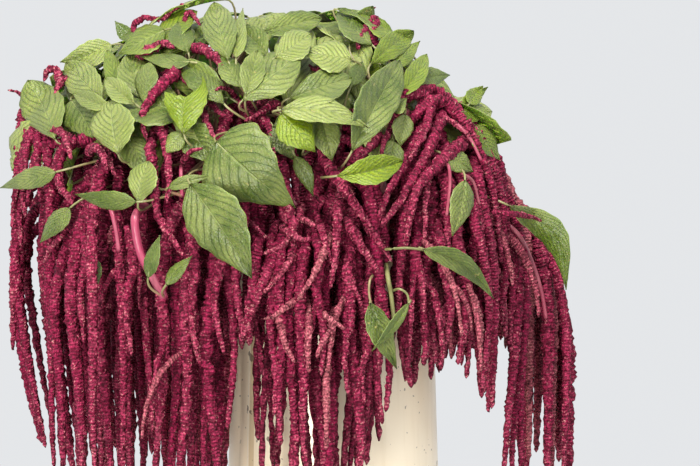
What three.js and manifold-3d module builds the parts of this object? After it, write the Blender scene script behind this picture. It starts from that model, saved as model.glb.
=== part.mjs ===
// Hanging amaranth (love-lies-bleeding) cut for a vase: twelve leafy stems, each with a seed head
// of long drooping tassels, standing in water in a tall cream vase.
// Millimetres, +Z up. The origin is the centre of the vase's base, and the front of the
// arrangement faces -Y.
import * as THREE from "three";
import { mergeVertices } from "three/addons/utils/BufferGeometryUtils.js";
import Module from "manifold-3d";

const wasm = await Module();
wasm.setup();

// Driving dimensions.
const clearance = 0.35; // kept between neighbouring pieces
const sliver = 0.06; // finished pieces have no edge or triangle finer than this, as far as can be
const vase = {
  height: 300,
  baseRadius: 107, // it narrows a little towards the mouth
  mouthRadius: 99,
  wall: 2.2,
  beadRadius: 2.6, // the rolled edge of the mouth
  sides: 32,
};
const water = { depth: 150, sides: 24 };
const stem = {
  radius: 4.5,
  sides: 5,
  archSteps: 4, // from the rim to the end of the leafy part
  axisSteps: 4, // from there to the end of the seed head's axis
  footRadius: 34, // the cut ends stand on this circle
  footHeight: 3, // above the vase's floor
};
const tassel = {
  radius: 7.2, // half the width over the florets
  sides: 3,
  rings: 7,
  knob: 0.15, // how far the rows of florets stand in and out, as a share of the radius
  lowest: 34, // no tip hangs lower than this above the table
};
const crestShare = 0.45; // how far along the arch the leafy stem ends and the seed head's own axis begins
const leaf = {
  thickness: 0.8,
  least: 14, // leaves no wider than this aren't modelled
  wide: 28, // front leaves at least this wide have one more row of corners
  petioleRadius: 1.5,
  petioleSides: 3,
  layerGap: 9,
  subLayerGap: 3,
  rootsPerStem: 13,
  fold: 0.12, // how far the halves lift along the midrib, as a share of the half width
  curl: 0.03, // how far the tip bends down, as a share of the length
};
// The leaves drape over a dome: its middle, its size, and how soon it turns down at the edge.
const dome = { x: -70, z: 330, halfWidth: 275, halfDepth: 240, rise: 226, roundness: 0.65 };
// Where the front leaves' places are seen from: distance in front of the vase's axis, place across
// it and height.
const eye = { distance: 2500, x: 17, height: 323 };

// Each stem: heading seen from above (degrees from +X, anticlockwise), the height of its arch's
// top, how far its tassels reach from the vase's axis, the height where the stem ends, and how far
// its tassels' tips swing out (or in, where negative) from plumb.
const stems = [
  { heading: 2, crest: 405, reach: 222, tail: 232, swing: -4 },
  { heading: 32, crest: 440, reach: 180, tail: 300, swing: 0 },
  { heading: 62, crest: 455, reach: 215, tail: 300, swing: 0 },
  { heading: 92, crest: 460, reach: 225, tail: 300, swing: 0 },
  { heading: 122, crest: 455, reach: 245, tail: 300, swing: 0 },
  { heading: 152, crest: 450, reach: 285, tail: 300, swing: -8 },
  { heading: 182, crest: 452, reach: 308, tail: 285, swing: -34 },
  { heading: 212, crest: 450, reach: 285, tail: 290, swing: -12 },
  { heading: 242, crest: 448, reach: 245, tail: 285, swing: 0 },
  { heading: 272, crest: 440, reach: 215, tail: 275, swing: 0 },
  { heading: 302, crest: 442, reach: 200, tail: 290, swing: 0 },
  { heading: 332, crest: 452, reach: 178, tail: 290, swing: 0 },
];
// The hem where the tassels' tips hang, as it shows from the front: [x, z] along the tassels of the
// front half and along those of the back half.
const hems = {
  front: [
    [-322, 105], [-312, 168], [-298, 168], [-290, 75], [-200, 58], [-188, 112], [-176, 58],
    [-108, 45], [-102, 208], [-76, 208], [-68, 60], [-10, 52], [36, 88], [60, 165], [95, 182],
    [107, 202], [124, 180], [148, 205], [155, 150], [161, 150], [167, 205], [173, 76], [235, 72],
  ],
  back: [[-322, 125], [-280, 100], [70, 100], [100, 170], [112, 210], [164, 214], [174, 100], [240, 95]],
};
const sectorDegrees = 360 / stems.length;

// Front leaves as they show from the front, in millimetres at the vase's axis:
// [base x, base z, tip x, tip z, width, layer out from the dome of tassels].
const frontLeaves = [
  [-278, 417, -305, 476, 46, 2],
  [-221, 511, -273, 494, 24, 0],
  [-201, 516, -218, 535, 14, 1],
  [-168, 526, -215, 502, 26, 1],
  [-181, 514, -136, 545, 24, 0],
  [-105, 496, -119, 554, 36, 2],
  [-97, 498, -90, 548, 16, 1],
  [-65, 500, -93, 528, 30, 0],
  [-71, 524, -11, 538, 26, 0],
  [-58, 498, -22, 522, 32, 1],
  [-87, 460, -75, 506, 26, 3],
  [-90, 468, -112, 500, 24, 2],
  [-90, 456, -33, 502, 44, 2],
  [19, 496, -30, 504, 30, 2],
  [-43, 458, 19, 478, 34, 2],
  [-52, 446, 36, 428, 34, 3],
  [-151, 422, -137, 482, 50, 3],
  [-215, 402, -223, 456, 46, 3],
  [-221, 448, -260, 463, 18, 1],
  [-277, 384, -333, 368, 20, 2],
  [-197, 354, -258, 362, 18, 3],
  [-195, 353, -184, 395, 30, 2],
  [-263, 348, -293, 313, 18, 2],
  [-143, 372, -81, 278, 54, 3],
  [-113, 408, -39, 348, 68, 2],
  [-118, 396, -98, 361, 30, 1],
  [-165, 368, -123, 380, 12, 2],
  [-50, 443, -20, 410, 30, 3],
  [-11, 438, -1, 395, 28, 2],
  [-208, 456, -226, 506, 20, 1],
  [-193, 458, -203, 504, 34, 0],
  [-198, 452, -228, 478, 22, 2],
  [-188, 452, -183, 494, 24, 2],
  [-230, 454, -267, 494, 36, 1],
  [-109, 452, -153, 496, 30, 1],
  [-143, 494, -193, 500, 14, 2],
  [-145, 504, -155, 534, 28, 1],
  [17, 511, 40, 550, 22, 0],
  [63, 516, 34, 539, 18, 0],
  [38, 492, 81, 525, 26, 1],
  [63, 490, 87, 515, 16, 0],
  [65, 458, 94, 502, 22, 1],
  [83, 476, 117, 481, 20, 0],
  [19, 405, 67, 496, 42, 3],
  [60, 444, 74, 458, 15, 2],
  [72, 442, 67, 409, 20, 1],
  [4, 380, 70, 395, 30, 3],
  [115, 400, 140, 384, 20, 1],
  [132, 376, 119, 324, 18, 1],
  [129, 448, 155, 469, 14, 1],
  [130, 444, 157, 444, 20, 2],
  [141, 431, 167, 396, 22, 1],
  [178, 348, 232, 269, 30, 4],
  [67, 306, 161, 259, 22, 3],
  [37, 253, 64, 187, 26, 3],
  [76, 253, 40, 206, 12, 4],
  [-185, 278, -173, 321, 14, 4],
  [-167, 271, -141, 300, 13, 4],
  [39, 511, 4, 544, 24, 1],
  [17, 468, 29, 494, 18, 1],
];
// The other sides carry leaves by rule: [turn from the front in degrees, leaves, half width of the side].
const otherSides = [
  [180, 14, 215],
  [90, 5, 110],
  [270, 5, 110],
];
// Leaves that close the crown, seen from above: how many, how far they spread to each side of the
// dome's middle, and how far they lie in front of it and behind it.
const crown = { leaves: 8, halfWidth: 150, front: -60, back: 130, length: 76 };

const radians = (degrees) => (degrees * Math.PI) / 180;
const mix = (a, b, t) => a + (b - a) * t;
const vec = (x, y, z) => new THREE.Vector3(x, y, z);

// A repeatable run of numbers from 0 to 1.
function makeDraw(seed) {
  let state = seed;
  return () => {
    state = (state * 16807) % 2147483647;
    return state / 2147483647;
  };
}

// The Halton sequence: any first few of its points lie evenly over the range from 0 to 1.
function halton(index, base) {
  let share = 1;
  let sum = 0;
  for (let i = index; i > 0; i = Math.floor(i / base)) {
    share /= base;
    sum += share * (i % base);
  }
  return sum;
}

function solidOf(geometry) {
  geometry.deleteAttribute("normal");
  geometry.deleteAttribute("uv");
  const merged = mergeVertices(geometry, 1e-3);
  return new wasm.Manifold(
    new wasm.Mesh({
      numProp: 3,
      vertProperties: merged.attributes.position.array,
      triVerts: new Uint32Array(merged.index.array),
    }),
  );
}

// A closed body from points and triangles.
function bodyOf(points, triangles) {
  const geometry = new THREE.BufferGeometry();
  geometry.setAttribute(
    "position",
    new THREE.Float32BufferAttribute(points.flatMap((p) => [p.x, p.y, p.z]), 3),
  );
  geometry.setIndex(triangles.flat());
  return solidOf(geometry);
}

// A round-ended rope along a path: rings of a few sides, each with its own radius and twist.
function ropeSolid(path, radii, sides, twistPerRing = 0) {
  const points = [];
  const triangles = [];
  const last = path.length - 1;
  let across = vec(0.31, 0.95, 0.02);
  path.forEach((point, i) => {
    const along = path[Math.min(i + 1, last)].clone().sub(path[Math.max(i - 1, 0)]).normalize();
    across = across.clone().addScaledVector(along, -across.dot(along)).normalize();
    const up = along.clone().cross(across);
    for (let k = 0; k < sides; k++) {
      const angle = (2 * Math.PI * k) / sides + twistPerRing * i;
      const offset = across.clone().multiplyScalar(Math.cos(angle)).addScaledVector(up, Math.sin(angle));
      points.push(point.clone().addScaledVector(offset, radii[i]));
    }
  });
  for (let i = 0; i < last; i++) {
    for (let k = 0; k < sides; k++) {
      const a = i * sides + k;
      const b = i * sides + ((k + 1) % sides);
      triangles.push([a, b, a + sides], [b, b + sides, a + sides]);
    }
  }
  for (let k = 1; k < sides - 1; k++) {
    triangles.push([0, k + 1, k]);
    triangles.push([last * sides, last * sides + k, last * sides + k + 1]);
  }
  return bodyOf(points, triangles);
}

const unionOf = (solids) => solids.reduce((whole, one) => whole.add(one));

function geometryOf(solid) {
  const { numProp, numVert, vertProperties, triVerts } = solid.getMesh();
  const points = new Float32Array(numVert * 3);
  for (let i = 0; i < numVert; i++) {
    points.set(vertProperties.subarray(i * numProp, i * numProp + 3), i * 3);
  }
  const geometry = new THREE.BufferGeometry();
  geometry.setAttribute("position", new THREE.BufferAttribute(points, 3));
  geometry.setIndex(new THREE.BufferAttribute(triVerts, 1));
  return geometry;
}

// The largest connected body of a solid: what is cut loose from it is dropped.
function largestBody(solid) {
  return solid.decompose().reduce((best, one) => (one.volume() > best.volume() ? one : best));
}

const normalOf = (a, b, c) => b.clone().sub(a).cross(c.clone().sub(a));

// Rids a closed surface of slivers. A triangle with an edge shorter than the limit has that edge
// closed up, and one that is only flatter than the limit has its longest edge turned, each only
// where the surface stays closed and no face turns over.
function withoutSlivers(points, triangles, limit) {
  const around = points.map(() => new Set());
  triangles.forEach((corners, i) => corners.forEach((p) => around[p].add(i)));
  const facesOf = (a, b) => [...around[a]].filter((i) => around[b].has(i));
  const besides = (p) => new Set([...around[p]].flatMap((i) => triangles[i]).filter((q) => q !== p));
  const facing = (corners) => normalOf(...corners.map((p) => points[p]));
  const between = (a, b) => points[a].distanceTo(points[b]);
  const longest = ([a, b, c]) => Math.max(between(a, b), between(b, c), between(c, a));
  const flatness = (corners) => facing(corners).length() / longest(corners);

  const closeUp = (a, b) => {
    const common = [...besides(a)].filter((p) => besides(b).has(p));
    if (common.length !== 2 || around[a].size < 4 || around[b].size < 4) return false;
    const gone = facesOf(a, b);
    const moved = [...around[b]].filter((i) => !gone.includes(i));
    const turned = moved.map((i) => triangles[i].map((p) => (p === b ? a : p)));
    const turnsOver = moved.some(
      (i, k) => flatness(triangles[i]) > 0.2 * limit && facing(triangles[i]).dot(facing(turned[k])) <= 0,
    );
    if (turnsOver) return false;
    gone.forEach((i) => triangles[i].forEach((p) => around[p].delete(i)));
    gone.forEach((i) => (triangles[i] = null));
    moved.forEach((i, k) => (triangles[i] = turned[k]));
    moved.forEach((i) => around[a].add(i));
    around[b].clear();
    return true;
  };

  const turnEdge = (i, [a, b, c]) => {
    const j = facesOf(a, b).find((face) => face !== i);
    const d = triangles[j].find((p) => p !== a && p !== b);
    if (besides(c).has(d)) return false;
    const whole = facing(triangles[i]).add(facing(triangles[j]));
    const halves = [[a, d, c], [d, b, c]];
    const turnsOver = (half) => flatness(half) > 0.2 * limit && facing(half).dot(whole) <= 0;
    if (halves.some(turnsOver)) return false;
    if (Math.min(...halves.map(flatness)) <= flatness(triangles[i])) return false;
    around[a].delete(j);
    around[b].delete(i);
    around[c].add(j);
    around[d].add(i);
    triangles[i] = halves[0];
    triangles[j] = halves[1];
    return true;
  };

  const mend = (i) => {
    if (!triangles[i]) return false;
    const [p, q, r] = triangles[i];
    const edges = [[p, q, r], [q, r, p], [r, p, q]];
    const length = ([a, b]) => points[a].distanceTo(points[b]);
    edges.sort((one, other) => length(one) - length(other));
    if (length(edges[0]) < limit) return closeUp(...edges[0]) || closeUp(edges[0][1], edges[0][0]);
    return flatness(triangles[i]) < limit && turnEdge(i, edges[2]);
  };
  for (let pass = 0; pass < 8; pass++) {
    if (!triangles.map((_, i) => mend(i)).some(Boolean)) break;
  }
  return triangles.filter(Boolean);
}

// The main body of a solid, with its slivers mended.
function mainBody(solid) {
  const { numProp, numVert, vertProperties, triVerts } = largestBody(solid).getMesh();
  const points = [];
  for (let i = 0; i < numVert; i++) {
    points.push(vec(...vertProperties.subarray(i * numProp, i * numProp + 3)));
  }
  const triangles = [];
  for (let i = 0; i < triVerts.length; i += 3) triangles.push([...triVerts.subarray(i, i + 3)]);
  return largestBody(bodyOf(points, withoutSlivers(points, triangles, sliver)));
}

function meshOf(name, solid, material) {
  const geometry = geometryOf(solid);
  geometry.computeVertexNormals();
  const mesh = new THREE.Mesh(geometry, material);
  mesh.name = name;
  return mesh;
}

const vaseRadius = (z) => mix(vase.baseRadius, vase.mouthRadius, z / vase.height);

function vaseSolid() {
  const { height, wall, beadRadius } = vase;
  const footEdge = 2.5;
  const outer = vaseRadius(height) + beadRadius;
  const profile = [
    [0, 0],
    [vaseRadius(0) - footEdge, 0],
    [vaseRadius(0), footEdge],
    [vaseRadius(height - 2 * beadRadius), height - 2 * beadRadius],
    [outer, height - beadRadius],
    [vaseRadius(height), height],
    [vaseRadius(height) - wall, height - beadRadius],
    [vaseRadius(wall) - wall, wall],
    [0, wall],
  ].map(([r, z]) => new THREE.Vector2(r, z));
  return solidOf(new THREE.LatheGeometry(profile, vase.sides).rotateX(Math.PI / 2));
}

function waterSolid() {
  const low = vase.wall + clearance;
  const flat = Math.cos(Math.PI / vase.sides);
  const radiusAt = (z) => (vaseRadius(z) - vase.wall) * flat - clearance;
  const profile = [
    [0, low],
    [radiusAt(low), low],
    [radiusAt(low + water.depth), low + water.depth],
    [0, low + water.depth],
  ].map(([r, z]) => new THREE.Vector2(r, z));
  return solidOf(new THREE.LatheGeometry(profile, water.sides).rotateX(Math.PI / 2));
}

// Where the stem leans on the rim, in its own upright plane: [distance from the axis, height].
const leanPoint = [vase.mouthRadius - vase.wall - stem.radius - 3, vase.height];

// The arch is a cubic Bezier in the stem's upright plane, from the rim over its crest to its tail.
function archPoint(plan, u) {
  const slope = (leanPoint[0] - stem.footRadius) / leanPoint[1];
  const climb = (plan.crest - leanPoint[1]) * 1.25;
  const end = [plan.reach - 26, plan.tail];
  const first = [leanPoint[0] + slope * climb, leanPoint[1] + climb];
  const second = [end[0] - 6, plan.crest + (plan.crest - leanPoint[1]) * 0.28];
  const v = 1 - u;
  const blend = (i) =>
    v * v * v * leanPoint[i] + 3 * v * v * u * first[i] + 3 * v * u * u * second[i] + u * u * u * end[i];
  const heading = radians(plan.heading);
  return vec(blend(0) * Math.cos(heading), blend(0) * Math.sin(heading), blend(1));
}

const archRadius = (u) => stem.radius * mix(1, 0.6, u);

function stemSolid(plan, grow) {
  const heading = radians(plan.heading);
  const low = vase.wall + stem.footHeight;
  const path = [vec(stem.footRadius * Math.cos(heading), stem.footRadius * Math.sin(heading), low)];
  const radii = [stem.radius + grow];
  for (let i = 0; i <= stem.archSteps; i++) {
    const u = (crestShare * i) / stem.archSteps;
    path.push(archPoint(plan, u));
    radii.push(archRadius(u) + grow);
  }
  return ropeSolid(path, radii, stem.sides);
}

// The drooping axis that carries a stem's tassels starts just past the end of its leafy part.
function axisSolid(plan) {
  const path = [];
  const radii = [];
  for (let i = 0; i <= stem.axisSteps; i++) {
    const u = mix(crestShare + 0.004, 0.99, i / stem.axisSteps);
    path.push(archPoint(plan, u));
    radii.push(archRadius(u));
  }
  return ropeSolid(path, radii, stem.sides);
}

// The tassels of one stem hang in rows across its sector, the outer row from the end of its axis.
// outward: how far out the row hangs, from the vase's side (0) to the stem's full reach (1).
// roots: where along the arch the row's tassels grow, from its middle to its sides.
const tasselRows = [
  { count: 4, outward: 1, roots: [0.97, 0.8] },
  { count: 4, outward: 0.45, roots: [0.74, 0.6] },
];
const tasselPlaces = tasselRows.flatMap(({ count, outward, roots }, row) =>
  Array.from({ length: count }, (_, k) => {
    const sideways = ((k + 0.5) / count) * 2 - 1;
    const stagger = sideways > 0 ? 0.045 : 0;
    const root = mix(roots[0], roots[1], Math.abs(sideways)) - stagger;
    return { sideways, outward, root, order: row * 5 + k };
  }),
);

// The height of the hem at a place, brought from the vase's axis to the place's own distance.
function hemHeight(x, y) {
  const away = (eye.distance + y) / eye.distance;
  const line = y < 0 ? hems.front : hems.back;
  const seen = Math.min(Math.max(eye.x + (x - eye.x) / away, line[0][0]), line[line.length - 1][0]);
  const i = Math.max(1, line.findIndex(([place]) => place >= seen));
  const share = (seen - line[i - 1][0]) / (line[i][0] - line[i - 1][0]);
  return eye.height + (mix(line[i - 1][1], line[i][1], share) - eye.height) * away;
}

// A tassel leaves the stem's arch, bends out and over, and hangs at its own place.
function tasselPath(plan, place) {
  const jitter = (base) => halton(place.order + plan.heading, base) - 0.5;
  const nearest = vase.baseRadius + tassel.radius + 14;
  const radius = mix(nearest, plan.reach + 14, place.outward) + 8 * jitter(2);
  const swing = plan.swing * place.outward;
  const halfSector = radians(sectorDegrees / 2) - Math.asin((tassel.radius + 1) / (radius + swing));
  const heading = radians(plan.heading) + place.sideways * halfSector;
  const slot = (t) => vec(Math.cos(heading), Math.sin(heading), 0).multiplyScalar(radius + swing * t * t);
  const root = archPoint(plan, place.root);
  const hem = hemHeight(slot(0).x, slot(0).y);
  const tip = Math.max(tassel.lowest, hem + 36 * jitter(3) + 16 * (1 - place.outward));
  const path = [];
  for (let i = 0; i <= tassel.rings; i++) {
    const t = i / tassel.rings;
    const out = 1 - Math.pow(1 - Math.min(1, t / 0.5), 2.2);
    const hump = 16 * Math.sin(Math.PI * Math.min(1, t / 0.34));
    const drop = Math.pow(t, 1.22);
    const { x, y } = slot(t);
    path.push(vec(mix(root.x, x, out), mix(root.y, y, out), mix(root.z, tip, drop) + hump));
  }
  return path;
}

function tasselSolid(plan, place) {
  const path = tasselPath(plan, place);
  const radii = path.map((_, i) => {
    const t = i / tassel.rings;
    const body = Math.min(1, 0.62 + 2.4 * t) * Math.min(1, 0.34 + 3.2 * (1 - t));
    return tassel.radius * body * (1 - tassel.knob + tassel.knob * (i % 2 ? 1 : -1));
  });
  return ropeSolid(path, radii, tassel.sides, Math.PI / tassel.sides);
}

// How far in front of the vase's axis the dome of tassels stands at x and z.
function domeDepth(x, z) {
  const wide = (x - dome.x) / dome.halfWidth;
  const high = Math.max(0, z - dome.z) / dome.rise;
  const inside = 1 - Math.min(0.97, wide * wide + high * high);
  return dome.halfDepth * Math.pow(inside, dome.roundness);
}

// A leaf's place seen from one side becomes a point in space: on the dome, pushed out by its
// layer, and drawn towards the eye along the line of sight.
function onDome(x, z, out, turn) {
  const depth = domeDepth(x, z) + out;
  const near = (eye.distance - depth) / eye.distance;
  const point = vec(mix(eye.x, x, near), -depth, mix(eye.height, z, near));
  if (turn === 0) return point;
  const angle = radians(turn);
  const dx = point.x - dome.x;
  return vec(
    dome.x + dx * Math.cos(angle) - point.y * Math.sin(angle),
    dx * Math.sin(angle) + point.y * Math.cos(angle),
    point.z,
  );
}

// A leaf's place seen from above becomes a point in space: on the crown of the dome.
function onTop(x, y, out) {
  const wide = (x - dome.x) / dome.halfWidth;
  const deep = Math.pow(Math.abs(y) / dome.halfDepth, 1 / dome.roundness);
  const inside = 1 - Math.min(0.97, wide * wide + deep);
  return vec(x, y, dome.z - 6 + dome.rise * Math.sqrt(inside) + out);
}

// The blade's half width along its length, 0 at the stalk and the tip.
const bladeShape = (t) => Math.pow(Math.sin(Math.PI * Math.pow(t, 0.78)), 0.8);

// A blade draped over the dome: its middle line runs from base to tip, its halves fold up a
// little along it, and its tip curls down.
function bladePoint(one, t, side) {
  const lengthX = one.tip[0] - one.base[0];
  const lengthZ = one.tip[1] - one.base[1];
  const length = Math.hypot(lengthX, lengthZ);
  const across = [-lengthZ / length, lengthX / length];
  const bow = one.bow * length * Math.sin(Math.PI * t);
  const half = (one.width / 2) * (side === 0 ? 0 : bladeShape(t)) * side;
  const x = one.base[0] + lengthX * t + across[0] * (bow + half);
  const z = one.base[1] + lengthZ * t + across[1] * (bow + half);
  const fold = leaf.fold * Math.abs(half);
  const curl = leaf.curl * length * t * t;
  return one.place(x, z, one.out + fold - curl, one.turn);
}

function bladeSolid(one, grow) {
  const top = [];
  const bottom = [];
  const outward = bladePoint({ ...one, out: one.out + 1 }, 0.5, 0).sub(bladePoint(one, 0.5, 0)).normalize();
  const half = leaf.thickness / 2 + grow;
  const wider = { ...one, width: one.width + 2 * grow };
  const inFront = one.turn === 0 && one.place === onDome;
  const stations = inFront && one.width >= leaf.wide ? 3 : 2;
  const rows = [];
  for (let i = 0; i <= stations + 1; i++) {
    const t = i / (stations + 1);
    const ends = i === 0 || i === stations + 1;
    rows.push((ends ? [0] : [-1, 0, 1]).map((side) => bladePoint(wider, t, side)));
  }
  const flat = rows.flat();
  flat.forEach((p) => {
    top.push(p.clone().addScaledVector(outward, half));
    bottom.push(p.clone().addScaledVector(outward, -half));
  });
  const n = flat.length;
  const faces = [];
  const at = (row, k) => (row === 0 ? 0 : 1 + (row - 1) * 3 + k);
  const end = n - 1;
  for (let k = 0; k < 2; k++) faces.push([0, at(1, k), at(1, k + 1)]);
  for (let row = 1; row < stations; row++) {
    for (let k = 0; k < 2; k++) {
      faces.push([at(row, k), at(row + 1, k), at(row + 1, k + 1)]);
      faces.push([at(row, k), at(row + 1, k + 1), at(row, k + 1)]);
    }
  }
  for (let k = 0; k < 2; k++) faces.push([at(stations, k), end, at(stations, k + 1)]);
  const rim = [0];
  for (let row = 1; row <= stations; row++) rim.push(at(row, 0));
  rim.push(end);
  for (let row = stations; row >= 1; row--) rim.push(at(row, 2));
  const triangles = [];
  faces.forEach(([a, b, c]) => triangles.push([a, b, c], [n + a, n + c, n + b]));
  rim.forEach((a, i) => {
    const b = rim[(i + 1) % rim.length];
    triangles.push([b, a, n + a], [b, n + a, n + b]);
  });
  const corners = [...top, ...bottom];
  const made = bodyOf(corners, triangles);
  if (made.volume() > 0) return made;
  return bodyOf(corners, triangles.map(([a, b, c]) => [a, c, b]));
}

// The stalk of a leaf runs from its place on a stem into the foot of the blade.
function petioleSolid(one, from, grow) {
  const path = [from, bladePoint(one, 0.16, 0)];
  const radii = [leaf.petioleRadius + grow, leaf.petioleRadius * 0.55 + grow];
  return ropeSolid(path, radii, leaf.petioleSides);
}

function leafPlans() {
  const draw = makeDraw(4127);
  const outOf = (layer, place) => 6 + layer * leaf.layerGap + (place % 3) * leaf.subLayerGap;
  const shown = frontLeaves.filter(([, , , , width]) => width > leaf.least);
  const leaves = shown.map(([x0, z0, x1, z1, width, layer], place) => ({
    base: [x0, z0],
    tip: [x1, z1],
    width,
    out: outOf(layer, place),
    place: onDome,
    turn: 0,
    bow: 0.08 * (draw() - 0.5),
  }));
  for (const [turn, count, halfWidth] of otherSides) {
    for (let i = 0; i < count; i++) {
      let x = dome.x + halfWidth * (2 * halton(i + 1, 2) - 1);
      const z = 400 + 105 * halton(i + 1, 3) * (1 - 0.35 * Math.abs(x - dome.x) / halfWidth);
      const length = 60 + 36 * draw();
      const tilt = radians(90 + 150 * (draw() - 0.5) - (70 * (x - dome.x)) / halfWidth);
      // None at the back stands past the right edge of the crown, nor one at the left in front of
      // the tassels.
      const across = length * Math.cos(tilt);
      if (turn === 180) x += Math.max(0, -236 - Math.min(x, x + across));
      if (turn === 270) x -= Math.max(0, Math.max(x, x + across) - 10);
      leaves.push({
        base: [x, z - 0.35 * length * Math.sin(tilt)],
        tip: [x + across, z + 0.65 * length * Math.sin(tilt)],
        width: length * (0.45 + 0.15 * draw()),
        out: outOf(i % 4, i),
        place: onDome,
        turn,
        bow: 0.12 * (draw() - 0.5),
      });
    }
  }
  for (let i = 0; i < crown.leaves; i++) {
    const x = dome.x + crown.halfWidth * (2 * halton(i + 1, 2) - 1);
    const y = mix(crown.front, crown.back, halton(i + 1, 3));
    const length = crown.length + 20 * draw();
    const heading = Math.atan2(y, x - dome.x) + 1.2 * (draw() - 0.5);
    leaves.push({
      base: [x, y],
      tip: [x + length * Math.cos(heading), y + length * Math.sin(heading)],
      width: Math.min(leaf.wide - 1, length * 0.5) + 12 * draw(),
      out: (i % 3) * leaf.layerGap,
      place: onTop,
      turn: 0,
      bow: 0.12 * (draw() - 0.5),
    });
  }
  return leaves;
}

// A leaf grows from the nearest place that is still free on any stem's leafy part.
function takeRoots(leaves) {
  const free = stems.flatMap((plan, index) =>
    Array.from({ length: leaf.rootsPerStem }, (_, i) => ({
      index,
      point: archPoint(plan, crestShare * mix(0.15, 0.96, i / (leaf.rootsPerStem - 1))),
    })),
  );
  return leaves.map((one) => {
    const base = bladePoint(one, 0, 0);
    const distance = ({ point }) => point.distanceTo(base);
    const root = free.reduce((best, place) => (distance(place) < distance(best) ? place : best));
    free.splice(free.indexOf(root), 1);
    return { one, root };
  });
}

const colours = {
  stalk: new THREE.MeshStandardMaterial({ color: 0x7f9a52, roughness: 0.6, metalness: 0 }),
  seedHead: new THREE.MeshStandardMaterial({ color: 0x8f1a45, roughness: 0.85, metalness: 0 }),
  vase: new THREE.MeshStandardMaterial({ color: 0xe6d9bb, roughness: 0.45, metalness: 0 }),
  water: new THREE.MeshStandardMaterial({ color: 0xcfe0e6, roughness: 0.05, metalness: 0 }),
};
const two = (n) => String(n).padStart(2, "0");
const bunch = new THREE.Group();

const placed = takeRoots(leafPlans());
const stalkParts = stems.map((plan, index) => {
  const own = placed.filter(({ root }) => root.index === index);
  const build = (grow) =>
    unionOf([
      stemSolid(plan, grow),
      ...own.flatMap(({ one, root }) => [bladeSolid(one, grow), petioleSolid(one, root.point, grow)]),
    ]);
  return { real: build(0), wide: build(clearance) };
});

const wides = [];
stalkParts.forEach(({ real, wide }, index) => {
  const cut = wides.reduce((solid, other) => solid.subtract(other), real);
  bunch.add(meshOf("leafy_stem_" + two(index + 1), mainBody(cut), colours.stalk));
  wides.push(wide);
});

stems.forEach((plan, index) => {
  const whole = unionOf([axisSolid(plan), ...tasselPlaces.map((place) => tasselSolid(plan, place))]);
  const cut = wides.reduce((solid, other) => solid.subtract(other), whole);
  bunch.add(meshOf("seed_head_" + two(index + 1), mainBody(cut), colours.seedHead));
});

const standingWater = stems.reduce(
  (solid, plan) => solid.subtract(stemSolid(plan, clearance)),
  waterSolid(),
);
bunch.add(meshOf("vase", vaseSolid(), colours.vase));
bunch.add(meshOf("water", standingWater, colours.water));

export default bunch;
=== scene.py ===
# Hanging amaranth in a tall cream vase: twelve leafy stems with their seed heads of long tassels.
# Shapes are worked out in millimetres and put into the meshes in metres.
import bpy
import math
import numpy as np
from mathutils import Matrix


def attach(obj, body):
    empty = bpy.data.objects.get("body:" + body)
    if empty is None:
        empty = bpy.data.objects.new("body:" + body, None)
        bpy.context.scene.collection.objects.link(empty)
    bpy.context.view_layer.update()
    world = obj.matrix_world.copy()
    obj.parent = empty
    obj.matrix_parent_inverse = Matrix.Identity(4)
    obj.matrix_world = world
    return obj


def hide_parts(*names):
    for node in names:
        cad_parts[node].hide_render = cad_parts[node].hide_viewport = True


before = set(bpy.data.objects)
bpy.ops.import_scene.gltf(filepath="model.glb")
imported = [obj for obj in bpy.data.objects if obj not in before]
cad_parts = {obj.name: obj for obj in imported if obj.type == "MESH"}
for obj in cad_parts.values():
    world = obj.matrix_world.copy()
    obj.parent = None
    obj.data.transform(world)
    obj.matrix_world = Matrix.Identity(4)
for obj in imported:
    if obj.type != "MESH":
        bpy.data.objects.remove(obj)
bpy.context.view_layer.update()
scene = bpy.context.scene
mm = 0.001

# The camera looks level at the middle of the bunch, a little right of the vase's axis.
eye = {"x": 17, "distance": 2500, "height": 323, "widthAtVase": 700, "sensor": 36}
cameraData = bpy.data.cameras.new("camera")
cameraData.sensor_width = eye["sensor"]
cameraData.lens = eye["sensor"] * eye["distance"] / eye["widthAtVase"]
cameraData.clip_end = 50
camera = bpy.data.objects.new("camera", cameraData)
camera.location = (eye["x"] * mm, -eye["distance"] * mm, eye["height"] * mm)
camera.rotation_euler = (math.pi / 2, 0, 0)
scene.collection.objects.link(camera)
scene.camera = camera
scene.view_settings.view_transform = "Standard"
print("camera set")


# Shader helpers: a value given as a socket is wired, any other is set on the input.
def addNode(tree, kind, inputs=None, **settings):
    node = tree.nodes.new("ShaderNode" + kind)
    for key, value in settings.items():
        setattr(node, key, value)
    for key, value in (inputs or {}).items():
        if isinstance(value, bpy.types.NodeSocket):
            tree.links.new(value, node.inputs[key])
        else:
            node.inputs[key].default_value = value
    return node


def calc(tree, operation, a, b=0.0):
    return addNode(tree, "Math", {0: a, 1: b}, operation=operation).outputs[0]


def times(tree, a, b):
    return calc(tree, "MULTIPLY", a, b)


def fade(tree, value, low, high):
    # 0 at low, 1 at high and smooth between
    inputs = {"Value": value, "From Min": low, "From Max": high}
    return addNode(tree, "MapRange", inputs, interpolation_type="SMOOTHSTEP").outputs[0]


def mixColour(tree, share, a, b):
    return addNode(tree, "Mix", {0: share, 6: a, 7: b}, data_type="RGBA").outputs[2]


def newMaterial(name, **sockets):
    # sockets: values for the shader's own inputs, with _ for each space in a name
    material = bpy.data.materials.new(name)
    material.use_nodes = True
    tree = material.node_tree
    tree.nodes.clear()
    shader = addNode(tree, "BsdfPrincipled")
    output = addNode(tree, "OutputMaterial")
    tree.links.new(shader.outputs[0], output.inputs[0])
    for key, value in sockets.items():
        shader.inputs[key.replace("_", " ")].default_value = value
    return material, tree, shader


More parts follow.
